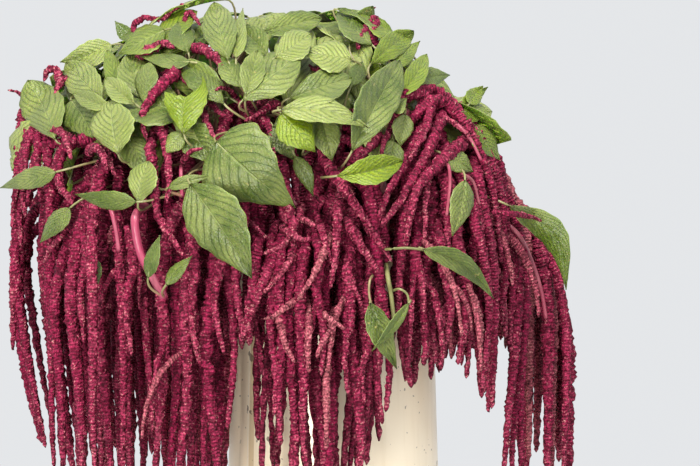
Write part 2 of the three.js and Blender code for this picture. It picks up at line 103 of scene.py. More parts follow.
def newGroup(name, inputs, output):
    # a node group of plain numbers: its tree, its input sockets inside and its output sockets inside
    group = bpy.data.node_groups.new(name, "ShaderNodeTree")
    for key, value in inputs.items():
        socket = group.interface.new_socket(key, in_out="INPUT", socket_type="NodeSocketFloat")
        socket.default_value = value
    group.interface.new_socket(output, in_out="OUTPUT", socket_type="NodeSocketFloat")
    return group, group.nodes.new("NodeGroupInput").outputs, group.nodes.new("NodeGroupOutput").inputs


def useGroup(tree, group, **inputs):
    # places the group with its own values; scale=400 sets its socket Scale
    named = {key.capitalize(): value for key, value in inputs.items()}
    return addNode(tree, "Group", named, node_tree=group).outputs[0]


# Grain: soft noise on the object's own coordinates, cut to a mask between two levels.
grain, grainIn, grainOut = newGroup(
    "grain", {"Scale": 400.0, "Detail": 2.0, "Stretch": 1.0, "Low": 0.45, "High": 0.6}, "Mask"
)
grainPlace = addNode(grain, "TexCoord").outputs["Object"]
grainSize = addNode(grain, "CombineXYZ", {0: 1.0, 1: 1.0, 2: grainIn["Stretch"]}).outputs[0]
grainMap = addNode(grain, "VectorMath", {0: grainPlace, 1: grainSize}, operation="MULTIPLY").outputs[0]
grainNoise = addNode(
    grain, "TexNoise", {"Vector": grainMap, "Scale": grainIn["Scale"], "Detail": grainIn["Detail"]}
).outputs[0]
grain.links.new(fade(grain, grainNoise, grainIn["Low"], grainIn["High"]), grainOut["Mask"])


def cells(tree, scale, output):
    # irregular cells on the object's own coordinates
    place = addNode(tree, "TexCoord").outputs["Object"]
    return addNode(tree, "TexVoronoi", {"Vector": place, "Scale": scale}).outputs[output]


# Beads: rounded cells, 1 at the middle of each and 0 between them.
beads, beadsIn, beadsOut = newGroup("beads", {"Scale": 500.0, "Softness": 0.6}, "Mask")
beadsAway = cells(beads, beadsIn["Scale"], "Distance")
beads.links.new(fade(beads, beadsAway, beadsIn["Softness"], 0.1), beadsOut["Mask"])

# Shades: the same cells, each with its own even shade from 0 to 1.
shades, shadesIn, shadesOut = newGroup("shades", {"Scale": 500.0}, "Shade")
shadesColour = cells(shades, shadesIn["Scale"], "Color")
shades.links.new(addNode(shades, "SeparateXYZ", {0: shadesColour}).outputs[0], shadesOut["Shade"])

# Ribs: soft bands across a coordinate, such as grooves round a stem; count is how many from 0 to 1.
ribs, ribsIn, ribsOut = newGroup("ribs", {"Along": 0.0, "Count": 12.0}, "Mask")
ribsWave = calc(ribs, "COSINE", times(ribs, times(ribs, ribsIn["Along"], ribsIn["Count"]), 2 * math.pi))
ribs.links.new(times(ribs, calc(ribs, "ADD", ribsWave, 1.0), 0.5), ribsOut["Mask"])


def growthOf(tree):
    # the piece's own attribute, as three numbers; the function that makes a part says what they hold
    vector = addNode(tree, "Attribute", attribute_name="growth").outputs["Vector"]
    return addNode(tree, "SeparateXYZ", {0: vector}).outputs


def bumpNormal(tree, shader, height, strength, distance):
    # fine relief by a height from 0 to 1 that stands for a distance in metres
    bump = addNode(tree, "Bump", {"Height": height, "Strength": strength, "Distance": distance})
    tree.links.new(bump.outputs[0], shader.inputs["Normal"])


# Surface maths. A path is an array of points, one row each.
def unit(vectors):
    # each row divided by its length
    return vectors / np.maximum(np.linalg.norm(vectors, axis=-1, keepdims=True), 1e-9)


def mix(a, b, share):
    # a where the share is 0, b where it is 1
    return a + (b - a) * share


def bezier(knots, u):
    # cubic: four knots, one row each
    u = np.asarray(u, float)[..., None]
    v = 1 - u
    return v**3 * knots[0] + 3 * v**2 * u * knots[1] + 3 * v * u**2 * knots[2] + u**3 * knots[3]


def flowing(points, step):
    # a smooth line through the points (cubic pieces with shared slopes), resampled to an even step
    points = np.asarray(points, float)
    slope = np.gradient(points, axis=0)
    pieces = []
    for a, b, da, db in zip(points[:-1], points[1:], slope[:-1], slope[1:]):
        pieces.append(bezier(np.array([a, a + da / 3, b - db / 3, b]), np.linspace(0, 1, 40, endpoint=False)))
    line = np.vstack(pieces + [points[-1:]])
    length = np.concatenate([[0], np.cumsum(np.linalg.norm(np.diff(line, axis=0), axis=1))])
    even = np.linspace(0, length[-1], max(6, int(length[-1] / step)))
    return np.column_stack([np.interp(even, length, line[:, k]) for k in range(3)])


def gridFaces(rows, columns, closed):
    # quads of a grid of points numbered row by row; closed joins the last column to the first
    i, k = np.meshgrid(np.arange(rows - 1), np.arange(columns if closed else columns - 1), indexing="ij")
    after = (k + 1) % columns
    quads = [i * columns + k, i * columns + after, (i + 1) * columns + after, (i + 1) * columns + k]
    return np.stack(quads, -1).reshape(-1, 4)


def ringCaps(rings, sides, first, last):
    # fans from two end points to the first and the last ring
    ring = np.arange(sides)
    after, row = (ring + 1) % sides, (rings - 1) * sides
    starts = np.stack([np.full(sides, first), after, ring], -1)
    return np.vstack([starts, np.stack([np.full(sides, last), row + ring, row + after], -1)])


def tube(path, radii, level):
    # ring i, place k: path[i] + radii[i, k] * (cos(angle k) * side + sin(angle k) * up), closed at
    # both ends; level is the direction that side leans to
    rings, sides = radii.shape
    along = unit(np.gradient(path, axis=0))
    side = unit(level - (along * level).sum(-1, keepdims=True) * along)
    up = np.cross(along, side)
    angle = np.arange(sides) * (2 * math.pi / sides)
    spoke = np.cos(angle)[None, :, None] * side[:, None] + np.sin(angle)[None, :, None] * up[:, None]
    points = (path[:, None] + radii[..., None] * spoke).reshape(-1, 3)
    first = path[0] - along[0] * radii[0].mean() * 0.4
    last = path[-1] + along[-1] * radii[-1].mean() * 0.6
    faces = gridFaces(rings, sides, True), ringCaps(rings, sides, rings * sides, rings * sides + 1)
    return np.vstack([points, first, last]), *faces


def turned(radius, z, floorZ, topZ):
    # a turned shape: radius and height of every corner, one ring a row, closed on the axis at both ends
    rings, sides = radius.shape
    angle = np.arange(sides) * (2 * math.pi / sides)
    points = np.stack([radius * np.cos(angle), radius * np.sin(angle), z + 0 * radius], -1).reshape(-1, 3)
    points = np.vstack([points, [[0, 0, floorZ], [0, 0, topZ]]])
    return points, gridFaces(rings, sides, True), ringCaps(rings, sides, rings * sides, rings * sides + 1)


def sheet(top, thickness):
    # a grid of points, rows along and columns across, becomes a thin closed skin down from itself
    rows, columns, _ = top.shape
    normal = unit(np.cross(np.gradient(top, axis=0), np.gradient(top, axis=1)))
    points = np.vstack([top.reshape(-1, 3), (top - normal * thickness).reshape(-1, 3)])
    lower = gridFaces(rows, columns, False)
    grid = np.arange(rows * columns).reshape(rows, columns)
    rim = np.concatenate([grid[0, :-1], grid[:-1, -1], grid[-1, :0:-1], grid[:0:-1, 0]])
    after = np.roll(rim, -1)
    edge = np.stack([rim, after, after + rows * columns, rim + rows * columns], -1)
    return points, np.vstack([lower[:, ::-1], lower + rows * columns, edge]), np.zeros((0, 3), int)


def makePiece(name, parts, materials, node):
    # parts: (points, quads, triangles, growth, material number) of each, joined into one mesh
    offsets = np.cumsum([0] + [len(part[0]) for part in parts])
    points = np.concatenate([part[0] for part in parts])
    quads = np.concatenate([part[1] + offset for part, offset in zip(parts, offsets)])
    tris = np.concatenate([part[2] + offset for part, offset in zip(parts, offsets)])
    growth = np.concatenate([part[3] for part in parts])
    looks = [np.full(len(part[kind]), part[4]) for kind in (1, 2) for part in parts]
    mesh = bpy.data.meshes.new(name)
    mesh.vertices.add(len(points))
    mesh.vertices.foreach_set("co", (points * mm).astype(np.float32).ravel())
    corners = np.concatenate([quads.ravel(), tris.ravel()])
    mesh.loops.add(len(corners))
    mesh.loops.foreach_set("vertex_index", corners.astype(np.int32))
    sizes = np.concatenate([np.full(len(quads), 4), np.full(len(tris), 3)])
    mesh.polygons.add(len(sizes))
    mesh.polygons.foreach_set("loop_start", (np.cumsum(sizes) - sizes).astype(np.int32))
    mesh.polygons.foreach_set("material_index", np.concatenate(looks).astype(np.int32))
    mesh.polygons.foreach_set("use_smooth", np.ones(len(sizes), bool))
    mesh.update(calc_edges=True)
    attribute = mesh.attributes.new("growth", "FLOAT_VECTOR", "POINT")
    attribute.data.foreach_set("vector", growth.astype(np.float32).ravel())
    for material in materials:
        mesh.materials.append(material)
    piece = bpy.data.objects.new(name, mesh)
    scene.collection.objects.link(piece)
    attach(piece, "root")
    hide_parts(node)


# The vase: cream enamelled sheet with a rolled rim and a lap seam down the left of its front.
vaseSetup = {
    "height": 300, "baseRadius": 107, "mouthRadius": 99, "wall": 2.0, "bead": 2.5, "floor": 2.2,
    "seamAt": -141, "seamStep": 1.1, "seamFade": 0.9, "dent": 0.25, "sides": 192, "rows": 60,
    "insideRows": 24, "beadRows": 12, "inset": 40,  # how far in from the wall the innermost ring lies
}


def vaseRadius(z):
    # a straight taper from the foot to the mouth
    return mix(vaseSetup["baseRadius"], vaseSetup["mouthRadius"], z / vaseSetup["height"])


def vasePart():
    # up the outside, round the bead and down the inside; where the sheet laps over itself the
    # outside steps out and eases back round the vase
    s = vaseSetup
    height, bead, inside = s["height"], s["bead"], s["insideRows"]
    outerZ = np.concatenate([[0.0, 0.0, 0.6, 1.6, 2.6], np.linspace(6, height - 8, s["rows"]), [height - 6]])
    footCurve = np.array([-s["inset"], -3.0, -1.6, -0.4, 0.0])  # its rounded edge
    outerR = vaseRadius(outerZ) + np.concatenate([footCurve, np.zeros(s["rows"] + 1)])
    turn = np.linspace(-0.6 * math.pi, math.pi * 0.9, s["beadRows"])
    beadR = vaseRadius(height) - 0.4 + bead * np.cos(turn) * 1.15  # a little wider than high
    beadZ = height - bead + bead * np.sin(turn)
    innerZ = np.concatenate([np.linspace(height - 7, 6, inside), [3.4, 2.4, s["floor"]]])
    innerR = vaseRadius(innerZ) - s["wall"] - np.concatenate([np.zeros(inside), [0.6, 2.4, s["inset"]]])
    r = np.concatenate([outerR, beadR, innerR])[:, None]
    z = np.concatenate([outerZ, beadZ, innerZ])[:, None]
    outside = np.concatenate([np.ones(len(outerZ)), np.zeros(len(beadZ) + len(innerZ))])[:, None]
    angle = np.linspace(0, 2 * math.pi, s["sides"], endpoint=False)[None, :]
    fromSeam = np.mod(angle - math.radians(s["seamAt"]), 2 * math.pi)
    lap = s["seamStep"] * np.exp(-fromSeam / s["seamFade"]) * outside * np.clip(z / 4, 0, 1)
    dents = s["dent"] * np.sin(3 * angle + z / 60) * outside * np.clip(z / 10, 0, 1)
    radius = r + lap + dents
    # growth holds the share of the way round from the seam, the height and 1 on the outside
    growth = [value + 0 * radius for value in (fromSeam / (2 * math.pi), z / height, outside)]
    growth = np.vstack([np.stack(growth, -1).reshape(-1, 3), [0.5, 0, 0], [0.5, 0, 0]])
    return *turned(radius, z, 0, s["floor"]), growth, 0


def enamelMaterial():
    # cream with pale clouds, tan streaks, rusty specks and chips where it is worn, and a painted highlight on
    # the lap's edge with a painted shadow beside it
    material, tree, shader = newMaterial("creamEnamel", Coat_Weight=0.25, Coat_Roughness=0.25)
    seam = growthOf(tree)[0]
    cream, pale = (0.96, 0.79, 0.55, 1), (0.98, 0.87, 0.67, 1)
    tan, rust = (0.62, 0.46, 0.24, 1), (0.09, 0.055, 0.035, 1)
    clouds = useGroup(tree, grain, scale=14.0, stretch=0.35, low=0.3, high=0.7)
    colour = mixColour(tree, clouds, cream, pale)
    streaks = useGroup(tree, grain, scale=110.0, stretch=0.06, detail=3.0, low=0.5, high=0.75)
    colour = mixColour(tree, times(tree, streaks, 0.25), colour, tan)
    # painted light at the lap: a tan strip of painted shadow beside its edge, and a bright painted highlight
    # on the edge itself
    seamShadow = times(tree, fade(tree, seam, 0.0135, 0.0115), fade(tree, seam, 0.0, 0.001))
    colour = mixColour(tree, times(tree, seamShadow, 0.75), colour, tan)
    # a thin pale line along the lap's edge: a painted highlight
    bright = fade(tree, calc(tree, "ABSOLUTE", calc(tree, "SUBTRACT", seam, 0.9965)), 0.0035, 0.001)
    colour = mixColour(tree, times(tree, bright, 0.6), colour, (0.93, 0.88, 0.76, 1))
    specks = useGroup(tree, grain, scale=260.0, detail=0.0, low=0.8, high=0.83)
    chips = useGroup(tree, grain, scale=38.0, detail=4.0, low=0.665, high=0.68)
    worn = calc(tree, "MAXIMUM", times(tree, specks, 0.6), times(tree, chips, 0.75))
    colour = mixColour(tree, worn, colour, rust)
    tree.links.new(colour, shader.inputs["Base Color"])
    tree.links.new(calc(tree, "ADD", 0.36, times(tree, worn, 0.35)), shader.inputs["Roughness"])
    bumpNormal(tree, shader, calc(tree, "SUBTRACT", times(tree, streaks, 0.2), worn), 0.35, 0.0006)
    return material


makePiece("vaseBody", [vasePart()], [enamelMaterial()], "vase")

# Standing water with a slight rise where it meets the wall.
waterSetup = {
    "bottom": 2.6, "top": 152.2, "gap": 0.3, "corner": 0.8, "rise": 1.2, "riseWidth": 2.2, "sides": 128,
    "rows": 8, "inset": 40,  # the innermost ring: in from the wall on top, out from the axis below
}


def waterPart():
    # up the vase's inside, then in over the top, which sinks by rise * (1 - exp(-inward / riseWidth))
    s = waterSetup
    wall = vaseRadius(s["top"]) - vaseSetup["wall"] - s["gap"]
    inward = np.array([s["inset"], 22, 14, 8, 5, 3, 1.5, 0.5, 0.0])  # closer rings near the wall
    topR, topZ = wall - inward, s["top"] - s["rise"] + s["rise"] * np.exp(-inward / s["riseWidth"])
    foot = vaseRadius(s["bottom"]) - vaseSetup["wall"] - s["gap"] - s["corner"]
    r = np.concatenate([[s["inset"]], np.linspace(foot, wall, s["rows"])[:-1], topR[::-1]])
    z = np.concatenate([[s["bottom"]], np.linspace(s["bottom"], s["top"], s["rows"])[:-1], topZ[::-1]])
    radius = np.repeat(r[:, None], s["sides"], 1)
    points, quads, tris = turned(radius, z[:, None], s["bottom"], s["top"] - s["rise"])
    return points, quads, tris, np.zeros((len(points), 3)), 0


waterMaterial, waterTree, waterShader = newMaterial(
    "vaseWater", Base_Color=(0.86, 0.94, 0.9, 1), Roughness=0.03, IOR=1.333, Transmission_Weight=1.0
)
ripple = useGroup(waterTree, grain, scale=30.0, detail=1.0, low=0.2, high=0.8)
bumpNormal(waterTree, waterShader, ripple, 0.08, 0.002)
makePiece("waterBody", [waterPart()], [waterMaterial], "water")
print("vase and water made")

# Where each stem goes: heading seen from above, the top of its arch, how far its tassels reach,
# the height of its end, and how far its tassels' tips swing out (in where negative) from plumb.
stems = [
    (2, 405, 222, 232, -4), (32, 440, 180, 300, 0), (62, 455, 215, 300, 0), (92, 460, 225, 300, 0),
    (122, 455, 245, 300, 0), (152, 450, 285, 300, -8), (182, 452, 308, 285, -34), (212, 450, 285, 290, -12),
    (242, 448, 245, 285, 0), (272, 440, 215, 275, 0), (302, 442, 200, 290, 0), (332, 452, 178, 290, 0),
]
stemSetup = {
    "radius": 4.5, "thinned": 0.6, "footRadius": 34, "foot": 5.2, "fromWall": 5.2, "crestShare": 0.45,
    "sides": 20, "archRings": 40, "straightRings": 16, "joint": 0.1, "jointEvery": 68, "jointHalf": 5,
    "thick": 3, "fineSides": 10, "groove": 0.1, "grooves": 7, "greenTo": 200, "greenFade": 180,
    "leastGreen": 0.15, "climb": 1.25, "overIn": 32, "overUp": 0.28, "endIn": 26,  # the last four: the arch
}
# The dome that the leaves and the front tassels lie on: its middle, its half sizes and its rise.
dome = {"x": -70, "z": 330, "halfWidth": 275, "halfDepth": 240, "rise": 226, "roundness": 0.65}


def archPoint(plan, u):
    # cubic Bezier in the stem's upright plane, from the rim over its crest to its end
    heading, crest, reach, tail, _ = plan
    s, leanZ = stemSetup, vaseSetup["height"]
    leanR = vaseSetup["mouthRadius"] - s["radius"] - s["fromWall"]
    climb = (crest - leanZ) * s["climb"]
    flat = bezier(np.array([
        [leanR, leanZ],
        [leanR + (leanR - s["footRadius"]) / leanZ * climb, leanZ + climb],
        [reach - s["overIn"], crest + (crest - leanZ) * s["overUp"]],
        [reach - s["endIn"], tail],
    ]), u)
    turn = math.radians(heading)
    return np.stack([flat[..., 0] * math.cos(turn), flat[..., 0] * math.sin(turn), flat[..., 1]], -1)


def levelOf(plan):
    # the level direction across the stem's upright plane
    turn = math.radians(plan[0])
    return np.array([-math.sin(turn), math.cos(turn), 0.0])


def domeDepth(x, z):
    # how far the dome stands out to the front: halfDepth * (1 - wide^2 - high^2) ^ roundness
    wide = (x - dome["x"]) / dome["halfWidth"]
    high = np.maximum(0, z - dome["z"]) / dome["rise"]
    return dome["halfDepth"] * (1 - np.minimum(0.97, wide**2 + high**2)) ** dome["roundness"]


def onDome(x, z, out, turn=0):
    # a place seen from one side: on the dome, pushed out by its layer, along the line of sight
    depth = domeDepth(x, z) + out
    near = (eye["distance"] - depth) / eye["distance"]
    px, py, pz = mix(eye["x"], x, near), -depth, mix(eye["height"], z, near)
    if turn == 0:
        return np.stack([px, py, pz], -1)
    a, dx = math.radians(turn), px - dome["x"]
    px, py = dx * math.cos(a) - py * math.sin(a), dx * math.sin(a) + py * math.cos(a)
    return np.stack([dome["x"] + px, py, pz], -1)


def onTop(x, z, out, turn):
    # a place on the crown, seen from above: z is how far back it lies; turn is there only because a
    # leaf calls this and onDome alike
    wide = (x - dome["x"]) / dome["halfWidth"]
    deep = np.abs(z) / dome["halfDepth"]
    inside = 1 - np.minimum(0.97, wide**2 + deep ** (1 / dome["roundness"]))
    slack = 6 + 18 * np.clip((x - 40) / 60, 0, 1)  # the crown lies a little lower at its right
    return np.stack([x + 0 * z, z + 0 * x, dome["z"] - slack + dome["rise"] * np.sqrt(inside) + out], -1)


def stalkPart(path, radius, level, green, look):
    # a stalk, grooved where it is thick; growth holds the place round it, the place along it and how
    # green it is
    s, rings, thick = stemSetup, len(path), np.max(radius) > stemSetup["thick"]
    sides = s["sides"] if thick else s["fineSides"]
    angle = np.arange(sides) * (2 * math.pi / sides)
    grooves = 1 - s["groove"] * (0.5 + 0.5 * np.cos(s["grooves"] * angle)) if thick else 1 + 0 * angle
    points, quads, tris = tube(path, np.asarray(radius)[:, None] * grooves[None, :], level)
    around, along = np.tile(np.arange(sides) / sides, rings), np.repeat(np.linspace(0, 1, rings), sides)
    growth = np.stack([around, along, np.repeat(green, sides)], -1)
    return points, quads, tris, np.vstack([growth, growth[0], growth[-1]]), look


def stemPart(plan):
    # straight from the cut end on the vase's floor to the rim, then up the arch to its crest, with a
    # slight swelling at each joint; green low down and pink higher up
    turn, s = math.radians(plan[0]), stemSetup
    foot = np.array([s["footRadius"] * math.cos(turn), s["footRadius"] * math.sin(turn), s["foot"]])
    u = np.linspace(0, s["crestShare"], s["archRings"])
    arch = archPoint(plan, u)
    straight = mix(foot, arch[0], np.linspace(0, 1, s["straightRings"], endpoint=False)[:, None])
    path = np.vstack([straight, arch])
    radius = np.concatenate([np.full(s["straightRings"], s["radius"]), s["radius"] * mix(1, s["thinned"], u)])
    fromJoint = path[:, 2] % s["jointEvery"] - s["jointEvery"] / 2
    joints = 1 + s["joint"] * np.exp(-((fromJoint / s["jointHalf"]) ** 2))
    green = np.clip(1.0 - (path[:, 2] - s["greenTo"]) / s["greenFade"], s["leastGreen"], 1)
    return stalkPart(path, radius * joints, levelOf(plan), green, 0)


def stalkMaterial():
    # pink with deeper grooves, or green, by the part's own share of green; long blotches and fibres
    material, tree, shader = newMaterial("stalkSkin", Roughness=0.4)
    around, _, green = growthOf(tree)
    pink, pale, deep = (0.28, 0.03, 0.075, 1), (0.38, 0.09, 0.13, 1), (0.16, 0.01, 0.03, 1)
    leafGreen, paleGreen = (0.15, 0.19, 0.055, 1), (0.27, 0.31, 0.12, 1)
    lines = useGroup(tree, ribs, along=around, count=7.0)
    blotch = useGroup(tree, grain, scale=70.0, stretch=0.25, detail=3.0, low=0.35, high=0.7)
    skin = mixColour(tree, times(tree, lines, 0.35), mixColour(tree, blotch, pink, pale), deep)
    greenSkin = mixColour(tree, times(tree, blotch, 0.7), leafGreen, paleGreen)
    tree.links.new(mixColour(tree, green, skin, greenSkin), shader.inputs["Base Color"])
    fibres = useGroup(tree, grain, scale=900.0, stretch=0.08, low=0.3, high=0.7)
    bumpNormal(tree, shader, calc(tree, "ADD", lines, times(tree, fibres, 0.4)), 0.3, 0.0005)
    return material


stalkSkin = stalkMaterial()

# Side shoots that show in front: where each runs as seen from the front, from where it leaves the
# bunch; its width at both ends; how green it is; how far out from the dome.
shootSunk = 34  # how much deeper than the rest of it a shoot begins
shoots = [
    ([(-188, 350), (-198, 338), (-193, 304), (-180, 278), (-169, 259)], 8.5, 7, 0.0, 26),
    ([(-230, 362), (-222, 346), (-217, 326), (-214, 306)], 5, 4, 0.0, 8),
    ([(-70, 446), (-62, 424), (-54, 392), (-38, 350)], 8, 6, 0.0, -12),
    ([(99, 383), (114, 392), (117, 372), (114, 341)], 3.4, 3.0, 0.05, 24),
    ([(120, 390), (130, 382), (140, 374), (146, 352)], 3.4, 3, 0.1, 24),
    ([(112, 440), (126, 430), (138, 416), (148, 396)], 3.4, 2.8, 0.0, 28),
    ([(82, 460), (90, 452), (101, 446)], 5, 4, 0.0, 8),
    ([(168, 336), (186, 320), (198, 296), (208, 266), (213, 238)], 5.5, 3.6, 0.05, 10),
    ([(-262, 292), (-261, 262), (-256, 236)], 6, 5, 0.0, 2),
    ([(52, 300), (55, 278), (58, 262), (61, 236)], 5, 3.5, 0.85, 22),
    ([(-150, 396), (-152, 386), (-151, 360)], 4, 3.5, 0.0, 8),
    ([(46, 306), (58, 307), (74, 308), (92, 306)], 2.6, 2.2, 0.9, 34),
    ([(57, 264), (66, 267), (74, 262), (76, 252)], 2.4, 2.0, 0.9, 40),
    ([(41, 282), (37, 276), (36, 264), (38, 252)], 2.4, 2.0, 0.7, 36),
]

# Leaves. A front leaf's row: where its base and tip show from the front (millimetres across from the
# vase's axis and up from the table), its width, its layer out from the dome, and its tone, from
# pale grey-green (0) over mid green (0.5) to bright yellow-green (1); some give their sideways bow
# and where they are widest (0.5 near the base, 1 in the middle).
frontLeaves = [
    (-278, 417, -305, 476, 46, 2, 0.3), (-221, 511, -273, 494, 24, 0, 0.1),
    (-201, 516, -218, 535, 14, 1, 0.5), (-168, 526, -215, 502, 26, 1, 0.72),
    (-181, 514, -136, 545, 24, 0, 0.82), (-105, 496, -119, 554, 36, 2, 0.3),
    (-97, 498, -90, 548, 16, 1, 0.15), (-65, 500, -93, 528, 30, 0, 0.6),
    (-71, 524, -11, 538, 26, 0, 0.62), (-58, 498, -22, 522, 32, 1, 0.12),
    (-87, 460, -75, 506, 26, 3, 0.3), (-90, 468, -112, 500, 24, 2, 0.6),
    (-90, 456, -33, 502, 44, 2, 0.32), (19, 496, -30, 504, 30, 2, 0.08), (-43, 458, 19, 478, 34, 2, 0.38),
    (-52, 446, 36, 428, 25, 5, 0.05, 0.1), (-149, 422, -133, 482, 44, 3, 0.92, 0.13),
    (-215, 402, -223, 456, 46, 3, 0.14), (-221, 448, -260, 463, 18, 1, 0.2),
    (-277, 384, -333, 368, 20, 2, 0.35), (-197, 354, -258, 362, 18, 3, 0.6),
    (-195, 353, -184, 395, 30, 2, 0.2), (-263, 348, -293, 313, 18, 2, 0.4),
    (-143, 372, -81, 278, 54, 3, 0.42), (-117, 414, -38, 348, 76, 2, 0.5, -0.02, 0.46),
    (-118, 396, -98, 361, 30, 1, 0.4), (-165, 368, -123, 380, 12, 2, 0.4),
    (-52, 443, -18, 404, 36, 5, 1.0), (-11, 438, -1, 395, 28, 2, 0.25),
    (-208, 456, -226, 506, 20, 1, 0.75), (-193, 458, -203, 504, 34, 0, 0.35),
    (-198, 452, -228, 478, 22, 2, 0.2), (-188, 452, -183, 494, 24, 2, 0.4),
    (-230, 454, -267, 494, 36, 1, 0.2), (-109, 452, -153, 496, 30, 1, 0.5),
    (-143, 494, -193, 500, 14, 2, 0.5), (-145, 504, -155, 534, 28, 1, 0.4),
    (17, 511, 40, 550, 22, 0, 0.6), (63, 516, 34, 539, 18, 0, 0.8), (38, 492, 81, 525, 26, 1, 0.8),
    (63, 490, 87, 515, 16, 0, 0.75), (65, 458, 94, 502, 22, 1, 0.85), (83, 476, 117, 481, 20, 0, 0.6),
    (19, 405, 67, 496, 42, 3, 0.5), (60, 444, 74, 458, 15, 2, 0.4), (72, 442, 67, 409, 20, 1, 0.3),
    (4, 380, 70, 395, 30, 3, 0.95), (115, 400, 140, 384, 20, 1, 0.3), (132, 376, 119, 320, 22, 3, 0.3),
    (129, 448, 155, 469, 14, 1, 0.8), (130, 444, 157, 444, 20, 2, 0.7), (141, 431, 167, 396, 22, 1, 0.65),
    (177, 350, 233, 266, 27, 4, 0.6, 0.2), (90, 307, 161, 257, 20, 5, 0.45, 0.12),
    (37, 253, 64, 187, 23, 3, 0.55), (76, 253, 39, 205, 10, 5, 0.6), (-185, 278, -173, 321, 14, 4, 0.5),
    (-167, 271, -141, 300, 13, 4, 0.6), (39, 511, 4, 544, 24, 1, 0.5), (17, 468, 29, 494, 18, 1, 0.5),
]
# More of them in front, in the same way, that close gaps.
fineLeaves = [
    (-152, 424, -168, 402, 18, 2, 0.3), (-150, 430, -118, 392, 34, 0, 0.5),
    (-262, 456, -240, 418, 40, 0, 0.5), (-205, 420, -190, 380, 30, 0, 0.5),
    (-60, 430, -40, 396, 26, 0, 0.5), (60, 416, 52, 380, 24, 0, 0.5), (-38, 400, -20, 360, 16, 0, 0.45),
    (136, 452, 150, 470, 16, 2, 0.8), (-243, 300, -236, 268, 14, 0, 0.5),
]
leafSetup = {
    "otherSides": [(180, 14, 215), (90, 5, 110), (270, 5, 110)],  # turn, leaves, half width of that side
    "moreSides": [(180, 20, 150), (90, 8, 100), (270, 12, 150), (0, 12, 150)],
    "sideBottom": 400, "sideRise": 105, "sideLength": (60, 36), "sideWidth": (0.45, 0.15),
    "backLimit": -236, "leftLimit": 10,  # none at the back or the left stands past these
    "sunkLess": 12, "sunkMore": 34,  # how much deeper those at the left and right, and the finer ones, lie
    "crownLeaves": 8, "crownAcross": 150, "crownDeep": (-60, 130), "crownLength": (76, 20),
    "crownWidth": (27, 12), "topLeaves": 46, "topArea": ((-240, 100), (-90, 160)),
    "middleLeaves": 11, "middleArea": ((-100, 40), (-30, 105)),  # the first ones of the top close its middle
    "bitten": (-149, 422),  # the base of the leaf with a ragged bite
    "layerGap": 9, "subLayerGap": 3, "least": 14,
    "rootsPerStem": 13, "rootSpan": (0.15, 0.96), "shootReach": 30,
    "thickness": 0.45, "petioleRadius": 1.2, "petioleRings": 16, "petioleBend": 26,
    "veins": 8.5, "veinLean": 0.4, "fold": 0.12, "curl": 0.03, "quilt": 2.5,
    "folds": (-0.5, 0.5), "rolls": (-0.7, 0.7), "curls": (-0.05, 0.22), "waves": (0.6, 2.6),
    "arches": (0.0, 0.12), "quilts": (0.7, 1.4),  # all of them ranges in which single leaves differ
    "large": 22, "grids": {"large": (37, 15), "small": (25, 11), "hidden": (17, 7)},  # rows, columns
}
# A leaf that stands up bends back, so it shows fullest near its far end, and a hanging one tapers.
bladeShapes = {
    "standing": {"fullAt": 1.22, "round": 0.7, "point": 0.12, "across": 0.9, "looser": 1.6},
    "hanging": {"fullAt": 0.74, "round": 0.88, "point": 0.4, "across": 1, "looser": 1},
}


def makeDraw(seed):
    # a repeatable run of numbers from 0 to 1
    state = [seed]

    def draw():
        state[0] = state[0] * 16807 % 2147483647
        return state[0] / 2147483647

    return draw


def halton(index, base):
    # evenly scattered shares from 0 to 1: the digits of the index, mirrored at the point
    share, total = 1.0, 0.0
    while index > 0:
        share /= base
        total += share * (index % base)
        index //= base
    return total


def bladeSurface(leaf, t, s):
    # middle line from base to tip with a bow; half width by a rounded, pointed outline; the halves
    # fold up and roll, the tip curls, the edge waves, and the cloth of the leaf puffs between veins
    base, tip = np.array(leaf["base"], float), np.array(leaf["tip"], float)
    length = np.hypot(*(tip - base))
    forward = (tip - base) / length
    across = np.array([-forward[1], forward[0]])
    if leaf["bitten"]:
        ragged = 0.03 * np.sin(9 * s) + 0.02 * np.sin(23 * s + 1)
        t = t * (1 - 0.42 * np.clip((s + 0.9) / 0.9, 0, 1) + ragged * np.clip(0.6 - np.abs(s - 0.3), 0, 1))
    swell = np.sin(math.pi * np.clip(t, 0, 1) ** leaf["fullAt"]) ** leaf["round"]
    outline = swell * (1.08 - leaf["point"] * t**3) * (1 - 0.3 * np.exp(-t / 0.07)) + 0.01
    half = leaf["width"] / 2 * outline * s * (1 + 0.035 * np.sin(11 * math.pi * t + leaf["phase"] * 9))
    bow = leaf["bow"] * length * np.sin(math.pi * t)
    x = base[0] + forward[0] * length * t + across[0] * (bow + half)
    z = base[1] + forward[1] * length * t + across[1] * (bow + half)
    vein = (t - leafSetup["veinLean"] * np.abs(s) ** 1.3) * leafSetup["veins"]
    puff = 0.5 - 0.5 * np.cos(2 * math.pi * vein)
    puff = puff * np.abs(np.sin(math.pi * np.abs(s) ** 0.7)) * leaf["quilt"]
    rib = -1.0 * np.exp(-((s / 0.07) ** 2)) * (1 - t)
    wave = leaf["wave"] * s**2 * np.sin(2 * math.pi * (2.2 * t + leaf["phase"]) + s)
    arch = leaf["arch"] * length * np.sin(math.pi * t)
    out = leaf["out"] + leaf["fold"] * np.abs(half) + leaf["roll"] * half * (0.4 + t)
    out = out - leaf["curl"] * length * t**2 + puff + rib + wave + arch
    return leaf["on"](x, z, out, leaf["turn"])


def bladePoint(leaf, t):
    # the point of the blade's middle line at a share of its length
    return bladeSurface(leaf, np.array([[t]]), np.array([[0.0]]))[0, 0]


